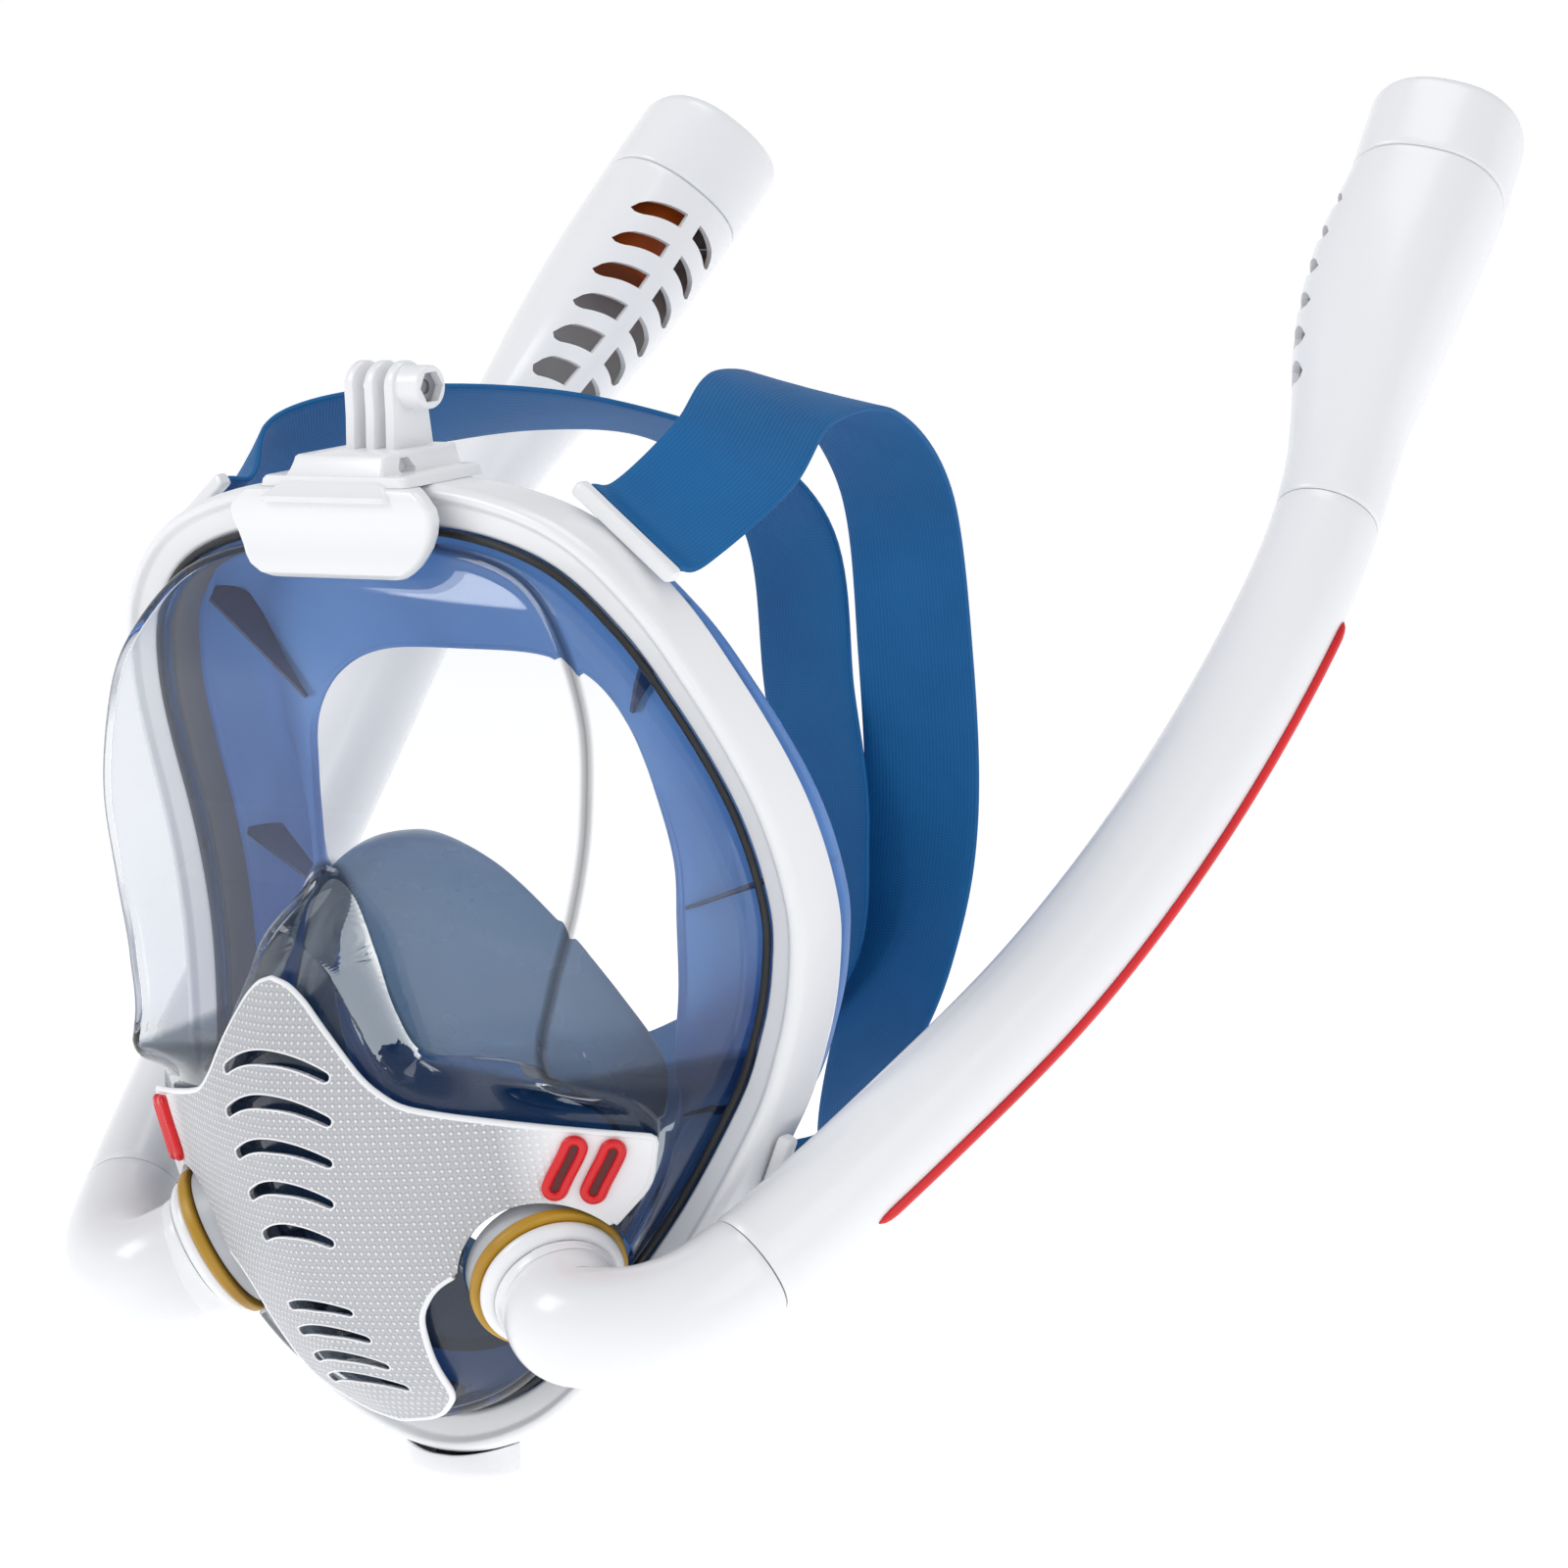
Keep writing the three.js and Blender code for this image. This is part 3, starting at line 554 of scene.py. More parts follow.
def blue_silicone():
    look = Look("blue_silicone", (104, 150, 212), 0.35, IOR=1.12, Transmission_Weight=0.5)
    look.set(look.shader, "Specular IOR Level", 0.4)
    look.mottle((92, 140, 204), (112, 160, 220), 18, 0.3, 0.42)
    look.bump(look.noise(700, 2), 0.08, 0.0003)
    look.let_lamps_through((150, 180, 225))
    return look.material


def cup_silicone():
    look = Look("cup_silicone", (96, 128, 160), 0.26, IOR=1.1, Transmission_Weight=0.35, Coat_Weight=0.3)
    look.mottle((88, 120, 153), (104, 135, 167), 9, 0.22, 0.3)
    look.let_lamps_through((150, 175, 205))
    return look.material


def grey_silicone():
    look = Look("grey_silicone", (108, 110, 118), 0.42)
    look.mottle((100, 102, 110), (116, 118, 126), 25, 0.38, 0.5)
    look.bump(look.noise(600, 2), 0.08, 0.0003)
    return look.material


def elastic_band():
    """Knitted elastic: fine ribs along the band and finer picks across it."""
    look = Look("elastic_band", (16, 92, 152), 0.66, Specular_IOR_Level=0.3)
    split = look.node("ShaderNodeSeparateXYZ")
    look.link(look.attribute("band").outputs["Vector"], split.inputs[0])
    across = look.maths("SINE", look.maths("MULTIPLY", split.outputs["X"], 2 * math.pi / 0.0011))
    along = look.maths("SINE", look.maths("MULTIPLY", split.outputs["Y"], 2 * math.pi / 0.0008))
    weave = look.maths("ADD", across, look.maths("MULTIPLY", along, 0.6))
    look.bump(weave, 0.16, 0.0002)
    cloud = look.span(look.noise(30), 0, 1)
    base = look.mix(cloud, srgb(6, 82, 138), srgb(10, 94, 152))
    thread = look.span(weave, 0, 0.4, -1.6, 1.6)
    look.drive("Base Color", look.mix(thread, base, srgb(24, 116, 176)))
    look.drive("Roughness", look.span(weave, 0.7, 0.55, -1.6, 1.6))
    return look.material


def coloured_plastic(name, dark, light, low, high, grain=500, strength=0.06, **inputs):
    look = Look(name, light, (low + high) / 2, **inputs)
    look.mottle(dark, light, 30, low, high)
    look.bump(look.noise(grain, 2), strength, 0.0003)
    return look.material


WHITE = white_plastic()
WOVEN = woven_white()
LENS = clear_lens()
BLUE = blue_silicone()
CUP = cup_silicone()
GREY_SOFT = grey_silicone()
BAND = elastic_band()
RED = coloured_plastic("red_rubber", (204, 14, 22), (222, 24, 32), 0.25, 0.36)
# dark red used as painted shade inside the vent slots
VENT_SHADE_RED = coloured_plastic("vent_shade_red", (76, 4, 8), (98, 8, 12), 0.4, 0.5)
GOLD = coloured_plastic("gold_rubber", (160, 118, 18), (196, 152, 38), 0.28, 0.42)
ORANGE = coloured_plastic("orange_float", (184, 80, 12), (214, 102, 22), 0.4, 0.55, strength=0.2)
GREY = coloured_plastic("grey_plastic", (176, 179, 184), (196, 199, 203), 0.3, 0.42)
# a darker copy of the skirt's blue silicone, painted shade for the ribs
RIB_SHADE_BLUE = coloured_plastic("rib_shade_silicone", (34, 52, 88), (46, 68, 108), 0.35, 0.48)
BLACK = coloured_plastic("black_rubber", (20, 21, 23), (36, 37, 40), 0.45, 0.6)
STEEL = coloured_plastic(
    "stainless_steel", (148, 150, 154), (176, 178, 182), 0.22, 0.4, grain=1500, Metallic=1.0,
)

# ---- shared surfaces ----
frame_line = spline(both_halves(FRAME_HALF), closed=True)
lens_line = spline(both_halves(LENS_HALF), closed=True)
lip_line = spline(both_halves(LIP_HALF), closed=True)
box_middle = smooth_table(BOX_MIDDLE)
window_lean = smooth_table(WINDOW_LEAN)


def frame_front(x, z):
    """Depth of the frame's front, swept back to the sides and most of all at mid height."""
    swell = np.cos(np.clip((z - 5) / 147, -1, 1) * np.pi / 2) ** 2
    return FRONT_AT_MIDDLE - 3 * z / FRAME_TOP + SIDE_SWEEP * swell * (x / FRAME_HALF_WIDTH) ** 2


def shares_round(count):
    return np.linspace(0, 1, count, endpoint=False)


def rim(u, out, back):
    """Points at shares u of the way round the frame, out from its outline and back from its front."""
    p, t = frame_line(u), tangents(frame_line, u)
    x, z = p[:, 0] - out * t[:, 1], p[:, 1] + out * t[:, 0]
    return np.stack([x, frame_front(p[:, 0], p[:, 1]) + back, z], 1)


def box_front(x, z):
    """Depth of the mouth box's front, swept back from its middle line to the sides."""
    return box_middle(z) + 0.0653 * np.abs(x) ** 1.476


def window_front(x, z):
    return window_lean(z) - WINDOW_CROWN * (1 - (x / WINDOW_HALF_WIDTH) ** 2)


def ridge_height(x):
    """Height of the front edge of the step between window and mouth box."""
    return -24 - 0.1 * np.abs(x) + ARCH_RISE * np.exp(-((np.abs(x) / ARCH_HALF_WIDTH) ** 2.3))


def shelf_height(x):
    """Height of the rear edge of that step."""
    arch = -12 - 0.1 * np.abs(x) + SHELF_RISE * np.exp(-((np.abs(x) / SHELF_HALF_WIDTH) ** 2.6))
    return np.maximum(arch, ridge_height(x) + 4)


def lens_front(x, z):
    shelf, ridge = shelf_height(x), ridge_height(x)
    share = smoothstep((shelf - z) / (shelf - ridge))
    return window_front(x, z) * (1 - share) + box_front(x, z) * share


def frame_ring(section):
    """A ring that follows the frame, from a closed section of (out, back) points."""
    u = shares_round(FRAME_STATIONS)
    return loft([rim(u, out, back) for out, back in section], through=True)


# ---- frame and rear ring ----
def make_frame():
    section = rounded(
        [(0, 2.6), (-1.4, 0.2), (-3.2, 0), (-4.9, 1.5), (-10.6, 2.3), (-11.6, 3.2), (-11.6, 5),
         (-10.4, 5.2), (-9.6, 4.4), (-5, 4.4), (-5, 19.2), (-4, 20), (-1.2, 20), (0, 18.4)],
        [1.6, 0.9, 0.6, 0.6, 0.5, 0.6, 0.4, 0.4, 0.4, 0.5, 0.6, 0.6, 0.8, 1.2], 4,
    )
    piece("frame_shell", frame_ring(section), WHITE, "mask", ["outer_frame"])


def make_retainer():
    section = box_outline(-5.4, -10.2, 9.8, 13.7, 0.8)
    piece("clamp_ring", frame_ring(section), GREY_SOFT, "mask", ["rear_retainer"])
    for i, share in enumerate([0.07, 0.2, 0.37, 0.63, 0.8, 0.93]):
        centre = rim(share, -7.8, 13.8)[0]
        head = rounded(
            [(0, -2), (1.1, -2), (1.1, 0.2), (2.2, 0.2), (2.2, 1.7), (1.2, 2.3), (0.9, 1.2), (0, 1.2)],
            [0, 0.1, 0.1, 0.2, 0.6, 0.2, 0.1, 0], 3, closed=False,
        )
        shape = turned(head, np.array([0, 1, 0]), centre, 24, closed=False)
        piece(f"screw_{i + 1}", shape, STEEL, "mask", [f"retainer_screw_{i + 1}"])


def make_gap_shadow():
    """A black cord along the frame's inner lip, put where the gap between lens, frame and skirt lies in
    shade: a painted shadow made as a piece.
    """
    line = rim(shares_round(FRAME_STATIONS), -12.9, 2.2)
    piece("gap_shadow_cord", tube_round(line, 1.15, 12, closed=True), BLACK, "mask")


# ---- lens ----
def make_lens():
    u = shares_round(300)
    outline, run = lens_line(u), tangents(lens_line, u)
    outward = np.stack([-run[:, 1], run[:, 0]], 1)
    corner = 4.5  # radius where the front turns into the side wall
    inset = outline - outward * corner
    centre = np.array([0, 4])
    rings = []
    for s in np.linspace(0.012, 1, 130):
        q = centre + s * (inset - centre)
        rings.append(with_depth(q, lens_front(q[:, 0], q[:, 1])))
    edge = lens_front(inset[:, 0], inset[:, 1])
    for angle in np.radians([15, 30, 45, 60, 75, 90]):
        q = outline - outward * corner * (1 - math.sin(angle))
        rings.append(with_depth(q, edge + corner * (1 - math.cos(angle))))
    wall, foot = rings[-1], rim(u, -14.5, 3.6)
    for share in np.linspace(0, 1, 12)[1:-1]:
        rings.append(wall * (1 - share) + foot * share)
    rings += [rim(u, out, back) for out, back in ((-14.2, 3.3), (-13.4, 3.5), (-11, 3.5), (-6.6, 3.5))]
    shape = loft(rings)
    shape[1].append(tuple(range(len(u))))
    obj = raw_object("visor", shape)
    if obj.data.polygons[len(obj.data.polygons) // 3].normal.y > 0:
        obj.data.flip_normals()
    thick = obj.modifiers.new("thick", "SOLIDIFY")
    thick.thickness, thick.offset = LENS_THICKNESS * MM, -1
    apply_modifiers(obj)
    holes = []
    for low, high, radius in ((-20, 20, PORT_RADIUS + 0.4), (-2.3, 26, RING_RADIUS + 0.7)):
        hole = rod(radius, low, high, PORT_AXIS, PORT_CENTRE)
        holes += [hole, mirrored(hole)]
    cut(obj, holes)
    mesh = obj.data
    co = np.array([v.co for v in mesh.vertices]) / MM
    smoke = smoothstep((shelf_height(co[:, 0]) + 1.5 - co[:, 2]) / 3)
    paint(mesh, "smoke", smoke)
    # marks a narrow band along the window's front bend where the material paints a dark reflection line
    turn = corner * (1 - math.sqrt(0.5))
    bend = with_depth(outline - outward * turn, edge + turn)
    gap = np.sqrt(((co[:, None] - bend[None]) ** 2).sum(2)).min(1)
    painted_dark_line = 1 - smoothstep((gap - 0.9) / 0.9)
    paint(mesh, "corner", painted_dark_line)
    finish_piece(obj, LENS, "mask", ["visor_lens"], sharp=50)


# ---- skirt and nose cup ----
def make_skirt():
    count = 280
    rows_per_key = 4
    u = shares_round(count)
    lip = lip_line(u)
    depth = smooth_table(LIP_DEPTH)(lip[:, 1])

    def lip_at(shrink, back):
        return with_depth(lip * shrink, depth + back)

    front = [rim(u, *p) for p in ((-14.2, 6.4), (-6.6, 6.4), (-6.6, 9.3), (-10.6, 9.4), (-10.6, 19))]
    outside = ((-8, 22.5), (-7.2, 27), (-9, 33), (-12, 37.8), (-17, 40.2), (-28, 37.6))
    inside = ((-28, 34.4), (-18, 36.8), (-13, 34), (-10.6, 27.6), (-11.4, 23), (-14.2, 20))
    outer, inner = ([rim(u, *p) for p in side] for side in (outside, inside))
    lip_section = ((1.02, 1.2), (0.985, 1.1), (0.975, 0), (0.985, -1.1), (1.02, -1.4))
    edge = [lip_at(*p) for p in lip_section]
    keys = np.array(front + outer + edge + inner)
    dense = spline(keys.reshape(len(keys), -1), closed=True)
    rows = dense(shares_round(len(keys) * rows_per_key)).reshape(-1, count, 3)
    obj = piece("face_seal_skirt", loft(rows, through=True), [BLUE, GREY_SOFT], "mask",
                ["face_skirt"], sharp=60)
    grey_from = rows_per_key * (len(keys) - 1) + 1
    for face in obj.data.polygons:
        face.material_index = int(face.index // count >= grey_from)
    make_ribs()


def make_ribs():
    """Thin gussets between the skirt's wall and its face lip, coloured a darker blue than the skirt as
    painted shade.
    """
    shapes = []
    for share in (0.112, 0.222, 0.345):
        wall, low = rim(share, -9.5, 26)[0], rim(share, -13, 36)[0]
        front = rim(share, -14.5, 20)[0]
        x, z = lip_line(share)[0] * 1.03
        lip = np.array([x, float(smooth_table(LIP_DEPTH)(z)) - 2.2, z])
        behind = lip + [0, 5, 0]
        corners = np.array([front, lip, behind, low, wall])
        across = unit(np.cross(lip - wall, low - wall))
        shape = loft([corners - across * 0.5, corners + across * 0.5], caps=True)
        shapes += [shape, mirrored(shape)]
    piece("skirt_ribs", joined(*shapes), RIB_SHADE_BLUE, "mask")


def make_cup():
    u = shares_round(220)
    front, rear = (spline(both_halves(half), True)(u) for half in (CUP_FRONT_HALF, CUP_REAR_HALF))
    middle = np.array([0, 0, -25])

    def at(share, shrink, bulge=0.0):
        p = front * (1 - share) + rear * share
        scale = shrink + bulge * math.sin(math.pi * share)
        return (p - middle) * [scale, 1, scale] + middle

    bulge, lip_back = 0.05, [0, 1.2, 0]
    outer = [at(s, 1, bulge) for s in np.linspace(0, 1, 14)]
    lip = [at(1, 0.99) + lip_back, at(1, 0.965) + lip_back]
    inner = [at(s, 0.955, bulge) for s in np.linspace(1, 0, 14)]
    piece("nose_pocket", loft(outer + lip + inner, through=True), CUP, "mask",
          ["nose_cup"], sharp=50)


# ---- mouth cover ----
def cover_point(x, z, lift):
    return np.stack([x, box_front(x, z) - lift, z], -1)


def arched_slot(middle, droop, half, tall, steps=17):
    """The outline (x, z) of a slot whose ends droop from its middle."""
    x = np.linspace(-half, half, steps)
    z = middle - droop * (x / half) ** 2
    slope = np.gradient(z, x)
    normal = np.stack([-slope, np.ones(steps)], 1) / np.sqrt(1 + slope**2)[:, None]
    taper = tall / 2 * (1 - 0.25 * np.abs(x / half))
    line = np.stack([x, z], 1)
    top, bottom = line + normal * taper[:, None], line - normal * taper[:, None]
    caps = []
    for end, sign in ((steps - 1, 1), (0, -1)):
        along = sign * np.array([normal[end, 1], -normal[end, 0]])
        angle = np.linspace(0, np.pi, 7)[1:-1]
        caps.append([line[end] + sign * taper[end] * math.cos(a) * normal[end]
                     + taper[end] * math.sin(a) * along for a in angle])
    return np.vstack([top, caps[0], bottom[::-1], caps[1]])


def prism(outline, low, high):
    """The (x, z) outline carried along y from low to high."""
    return loft([with_depth(outline, y) for y in (low, high)], caps=True)


def make_cover():
    corners = [0, 2, 4, 4, 4, 4, 6, 6, 1.6, 4, 3, 4, 4, 4, 4, 4, 4, 5, 0]
    outline = evenly(rounded(COVER_HALF, corners, 5, closed=False), 1.1)
    columns = np.linspace(-1, 1, 101)
    outer_lift = COVER_LIFT + COVER_THICKNESS
    sheets = []
    for lift in (outer_lift, COVER_LIFT):
        sheets.append([cover_point(columns * max(x, 0.05), np.full(101, z), lift) for x, z in outline])
    rings = [np.vstack([front, rear[::-1]]) for front, rear in zip(*sheets)]
    obj = raw_object("cover_sheet", loft(rings, caps=True))
    slots = [arched_slot(*slot, 4.4 if slot[0] > -70 else 3.8) for slot in COVER_SLOTS]
    tools = [prism(p, -115, -30) for p in slots]
    ring = rod(RING_RADIUS + 1.2, -16, 30, PORT_AXIS, PORT_CENTRE)
    cut(obj, [*tools, ring, mirrored(ring)])
    obj.name = "mouth_grille"
    finish_piece(obj, WOVEN, "mask", ["mouth_cover"], sharp=35)
    beads = []
    for p in slots:
        line = evenly(p, 1.0, closed=True)
        on_sheet = cover_point(line[:, 0], line[:, 1], outer_lift - 0.1)
        beads.append(tube_round(on_sheet, 0.3, 8, closed=True))
    piece("slot_rims", joined(*beads), WHITE, "mask")
    whole = np.vstack([outline, outline[-2:0:-1] * [-1, 1]])
    keep = []
    for x, z in whole:
        p = cover_point(np.array([x]), np.array([z]), COVER_LIFT + 1)[0]
        near = []
        for flip in ([1, 1, 1], [-1, 1, 1]):
            d, axis = p - PORT_CENTRE * flip, PORT_AXIS * flip
            near.append(np.linalg.norm(d - np.dot(d, axis) * axis))
        keep.append(min(near) > RING_RADIUS + 2)
    keep = np.array(keep)
    start = np.flatnonzero(keep & ~np.roll(keep, 1))[0]
    whole, keep = np.roll(whole, -start, axis=0), np.roll(keep, -start)
    breaks = np.flatnonzero(np.diff(keep.astype(int))) + 1
    runs = [run for run, kept in zip(np.split(whole, breaks), np.split(keep, breaks)) if kept[0]]
    borders = [
        tube_round(cover_point(r[:, 0], r[:, 1], COVER_LIFT + COVER_THICKNESS / 2), 1.05, 10)
        for r in runs if len(r) > 3
    ]
    piece("cover_border", joined(*borders), WHITE, "mask")


def cover_normal(x, z):
    dx = box_front(x + 1, z) - box_front(x, z)
    dz = box_front(x, z + 1) - box_front(x, z)
    return unit([dx, -1, dz])


def make_vents():
    """Raised red rims, slanted on the cover's ends, each filled with a dark red plate that is painted
    shade for the slot inside.
    """
    half, straight, slant, corners = 2.4, 6.2, 0.35, 56
    rim_lift, floor_lift = 4.7, 2.9
    for number, (x, z) in enumerate([(70, -44.2), (78, -45.8)], 1):
        normal = cover_normal(x, z)
        centre = np.array([x, float(box_front(x, z)), z])
        across = unit(np.cross(normal, [0, 0, 1]))
        upright = np.cross(across, normal)
        a = math.cos(slant) * across + math.sin(slant) * upright
        b = -math.sin(slant) * across + math.cos(slant) * upright
        if a[0] < 0:
            a = -a
        ring = []
        for k in range(corners):
            angle = 2 * math.pi * k / corners
            end = math.copysign(straight, math.sin(angle))
            ring.append((half * math.cos(angle), half * math.sin(angle) + end))
        line = evenly(ring, 0.6, closed=True)
        bend = 1.3 * np.sin(line[:, 1] / 8.5 * math.pi / 2) * 0.8
        points = [centre + normal * rim_lift + a * (p[0] + k) + b * p[1] for p, k in zip(line, bend)]
        rim_shape = tube_round(points, 1.35, 12, closed=True)
        # painted shade: a dark red plate inside the rim imitates the shaded opening of the slot
        inner = np.array([
            centre + normal * floor_lift + a * (p[0] * 0.8 + k) + b * p[1] * 0.9
            for p, k in zip(line, bend)
        ])
        floor = loft([inner, inner + normal * 2.0], caps=True)
        for name, side in SIDES.items():
            side_piece(f"vent_rim_{number}", name, rim_shape, RED, "mask",
                       f"vent_insert_{number}")
            piece(f"vent_slot_shade_{number}_{name}", on_side(floor, side), VENT_SHADE_RED, "mask")


# ---- ports, rings, elbows, tubes ----
PORT_AT = [PORT_CENTRE + PORT_AXIS * s for s in (6.6, 12)]
TUBE_PATH = spline([
    *PORT_AT, (80, -74, -86), (100, -63, -84.5), (114, -41, -73.5), (133, 10, -42), (147.5, 62, -8.5),
    (158, 114.5, 34), (163, 164, 81.5), TUBE_TOP, TUBE_TOP + 60 * HOUSING_AXIS,
])
SEAM_AT, HALF_SEAM, TUBE_END, HOUSING_AT = 0.4, 0.0004, 0.84, 0.9  # shares of the path


def pipe(start, end, stations, outer, inner):
    """A hollow pipe along part of the tube's path, its ends slightly rounded."""
    t = np.linspace(start, end, stations)
    line = TUBE_PATH(t)
    a, b = carried_axes(line)
    share = [i / (stations - 1) for i in range(stations)]
    outside, inside = (
        [line[i] + radius(share[i]) * circle(a[i], b[i], 64) for i in range(stations)]
        for radius in (outer, inner)
    )
    return loft(outside + inside[::-1], through=True)


def eased_ends(radius, share):
    """The radius as a function along a pipe, drawn in a little at both ends."""
    def at(t):
        near = min(t, 1 - t) / share
        return radius(t) - (0.5 * (1 - near) ** 2 if near < 1 else 0)
    return at


def make_port_side(name):
    body = f"{name}_tube"
    port = [(14, -9), (20.6, -9), (PORT_RADIUS, -8.4), (PORT_RADIUS, -2.2), (14, -2.2)]
    collar = [(16.4, 2.2), (20.4, 2.2), (20.4, 4.2), (18.6, 6.2), (16.4, 6.2)]
    for stem, profile, look, rides_on, slot, node in (
        ("port_sleeve", rounded(port, 0.5, 4), GREY, "mask", "grey_plastic", "tube_port"),
        ("port_seal", box_outline(17.8, 22.3, -1.6, 1.8, 1.2, 6), GOLD, "mask", "gold_seal", "seal_ring"),
        ("swivel_collar", rounded(collar, 0.7, 4), WHITE, body, "white_shell", "tube_collar"),
    ):
        side_piece(stem, name, turned(profile, PORT_AXIS, PORT_CENTRE), look, rides_on, node)
    taper = eased_ends(lambda t: ELBOW_RADIUS + (TUBE_RADIUS - ELBOW_RADIUS) * t, 0.012)
    elbow = pipe(0, SEAM_AT - HALF_SEAM, 110, taper, lambda t: taper(t) - TUBE_WALL)
    side_piece("elbow", name, elbow, WHITE, body, "tube_elbow", 60)
    radius = eased_ends(lambda t: TUBE_RADIUS, 0.006)
    tube = pipe(SEAM_AT + HALF_SEAM, TUBE_END, 150, radius, lambda t: radius(t) - TUBE_WALL)
    side_piece("air_tube", name, tube, WHITE, body, "breathing_tube", 60)
    side_piece("red_strip", name, trim_shape(), RED, body, "tube_trim", 60)


def trim_shape():
    """A low bead along the outer side of the tube, closed at both ends."""
    stations, bead = 160, 1.9
    t = np.linspace(0.455, 0.79, stations)
    line, along = TUBE_PATH(t), tangents(TUBE_PATH, t)
    out_hint = np.array([0.85, 0.1, -0.52])
    rings = []
    run = np.linspace(0, 1, stations)
    for i in range(stations):
        out = square_to(out_hint, along[i])
        across = np.cross(along[i], out)
        end = min(run[i], 1 - run[i]) * stations / 4.5
        close = math.sqrt(max(0.02, 1 - max(0, 1 - end) ** 2))
        half = bead * close
        ring = []
        for angle in np.linspace(0, math.pi, 9):
            ring.append(line[i] + out * (TUBE_RADIUS + 0.1 + bead * math.sin(angle) ** 0.7 * close)
                        + across * half * math.cos(angle))
        rings.append(np.array(ring))
    return loft(rings, caps=True)


# ---- float housings ----
WIDE = square_to(np.array([0.78, 0.62, 0]), HOUSING_AXIS)
NARROW = unit(np.cross(WIDE, HOUSING_AXIS))
FRONT = NARROW if NARROW[1] < 0 else -NARROW
SLOT_TURN = 0.17  # the slots look inwards, turned a little to the back
SLOT_OUT = -math.cos(SLOT_TURN) * WIDE - math.sin(SLOT_TURN) * FRONT
SLOT_ACROSS = math.cos(SLOT_TURN) * FRONT - math.sin(SLOT_TURN) * WIDE
NECK = 34  # length of the round neck below the housing
TOP_SLOT, SLOT_PITCH = 75, 12.8
HALF_WEB = 2.6  # the web between the two columns of slots
SWELL = [  # the housing swells to the side its slots are on: place, outer, inner and cross half
    (-NECK, 15.2, 15.2, 15.2), (-14, 15.2, 16.4, 15.7), (0, 15.3, 19, 17.2), (25, 17.5, 24.5, 20.2),
    (55, 20.5, 26.5, 22.4), (HOUSING_LENGTH, CAP_HALF[0], CAP_HALF[0], CAP_HALF[1]),
]
swell_outer, swell_inner, swell_cross = (smooth_table([(r[0], r[k]) for r in SWELL]) for k in (1, 2, 3))


def oval(centre, axis, outer, inner, half, squareness=0.85, sides=120):
    """A rounded ring square to the axis, with its own half width on either side."""
    a_axis, b_axis = (square_to(v, axis) for v in (WIDE, FRONT))
    angle = np.linspace(0, 2 * np.pi, sides, endpoint=False)
    cos, sin = np.cos(angle), np.sin(angle)
    a = np.where(cos > 0, outer, inner) * np.sign(cos) * np.abs(cos) ** squareness
    b = half * np.sign(sin) * np.abs(sin) ** squareness
    return centre + a[:, None] * a_axis + b[:, None] * b_axis


def housing_ring(s, inset):
    if s < 0:
        share = HOUSING_AT + s / NECK * (HOUSING_AT - TUBE_END)
        centre, axis = TUBE_PATH(share)[0], tangents(TUBE_PATH, [share])[0]
    else:
        centre, axis = TUBE_TOP + HOUSING_AXIS * s, HOUSING_AXIS
    halves = [float(f(s)) - inset for f in (swell_outer, swell_inner, swell_cross)]
    return oval(centre, axis, *halves, squareness=1 - 0.15 * float(smoothstep((s + NECK) / 45)))


def cap_ring(s, inset):
    return oval(TUBE_TOP + HOUSING_AXIS * s, HOUSING_AXIS, CAP_HALF[0] - inset, CAP_HALF[0] - inset,
                CAP_HALF[1] - inset)


def slot_tool(s, low, high, tall):
    """A slot across the housing from low to high, with a rounded outer end and an arched top."""
    a = np.linspace(low, high, 13)
    outer = 0 if abs(low) > abs(high) else 12
    reach = np.abs(a - a[outer]) / abs(high - low)
    top = tall / 2 * np.clip(reach / 0.22, 0, 1) ** 0.5
    sag = 0.02 * a**2
    ring = [(x, s + h - d) for x, h, d in zip(a, top, sag)]
    ring += [(x, s - h * 0.9 - d) for x, h, d in zip(a[::-1], top[::-1], sag[::-1])]
    flat = np.array([TUBE_TOP + HOUSING_AXIS * q + SLOT_ACROSS * p for p, q in ring])
    return loft([flat + SLOT_OUT * out for out in (7, 32)], caps=True)


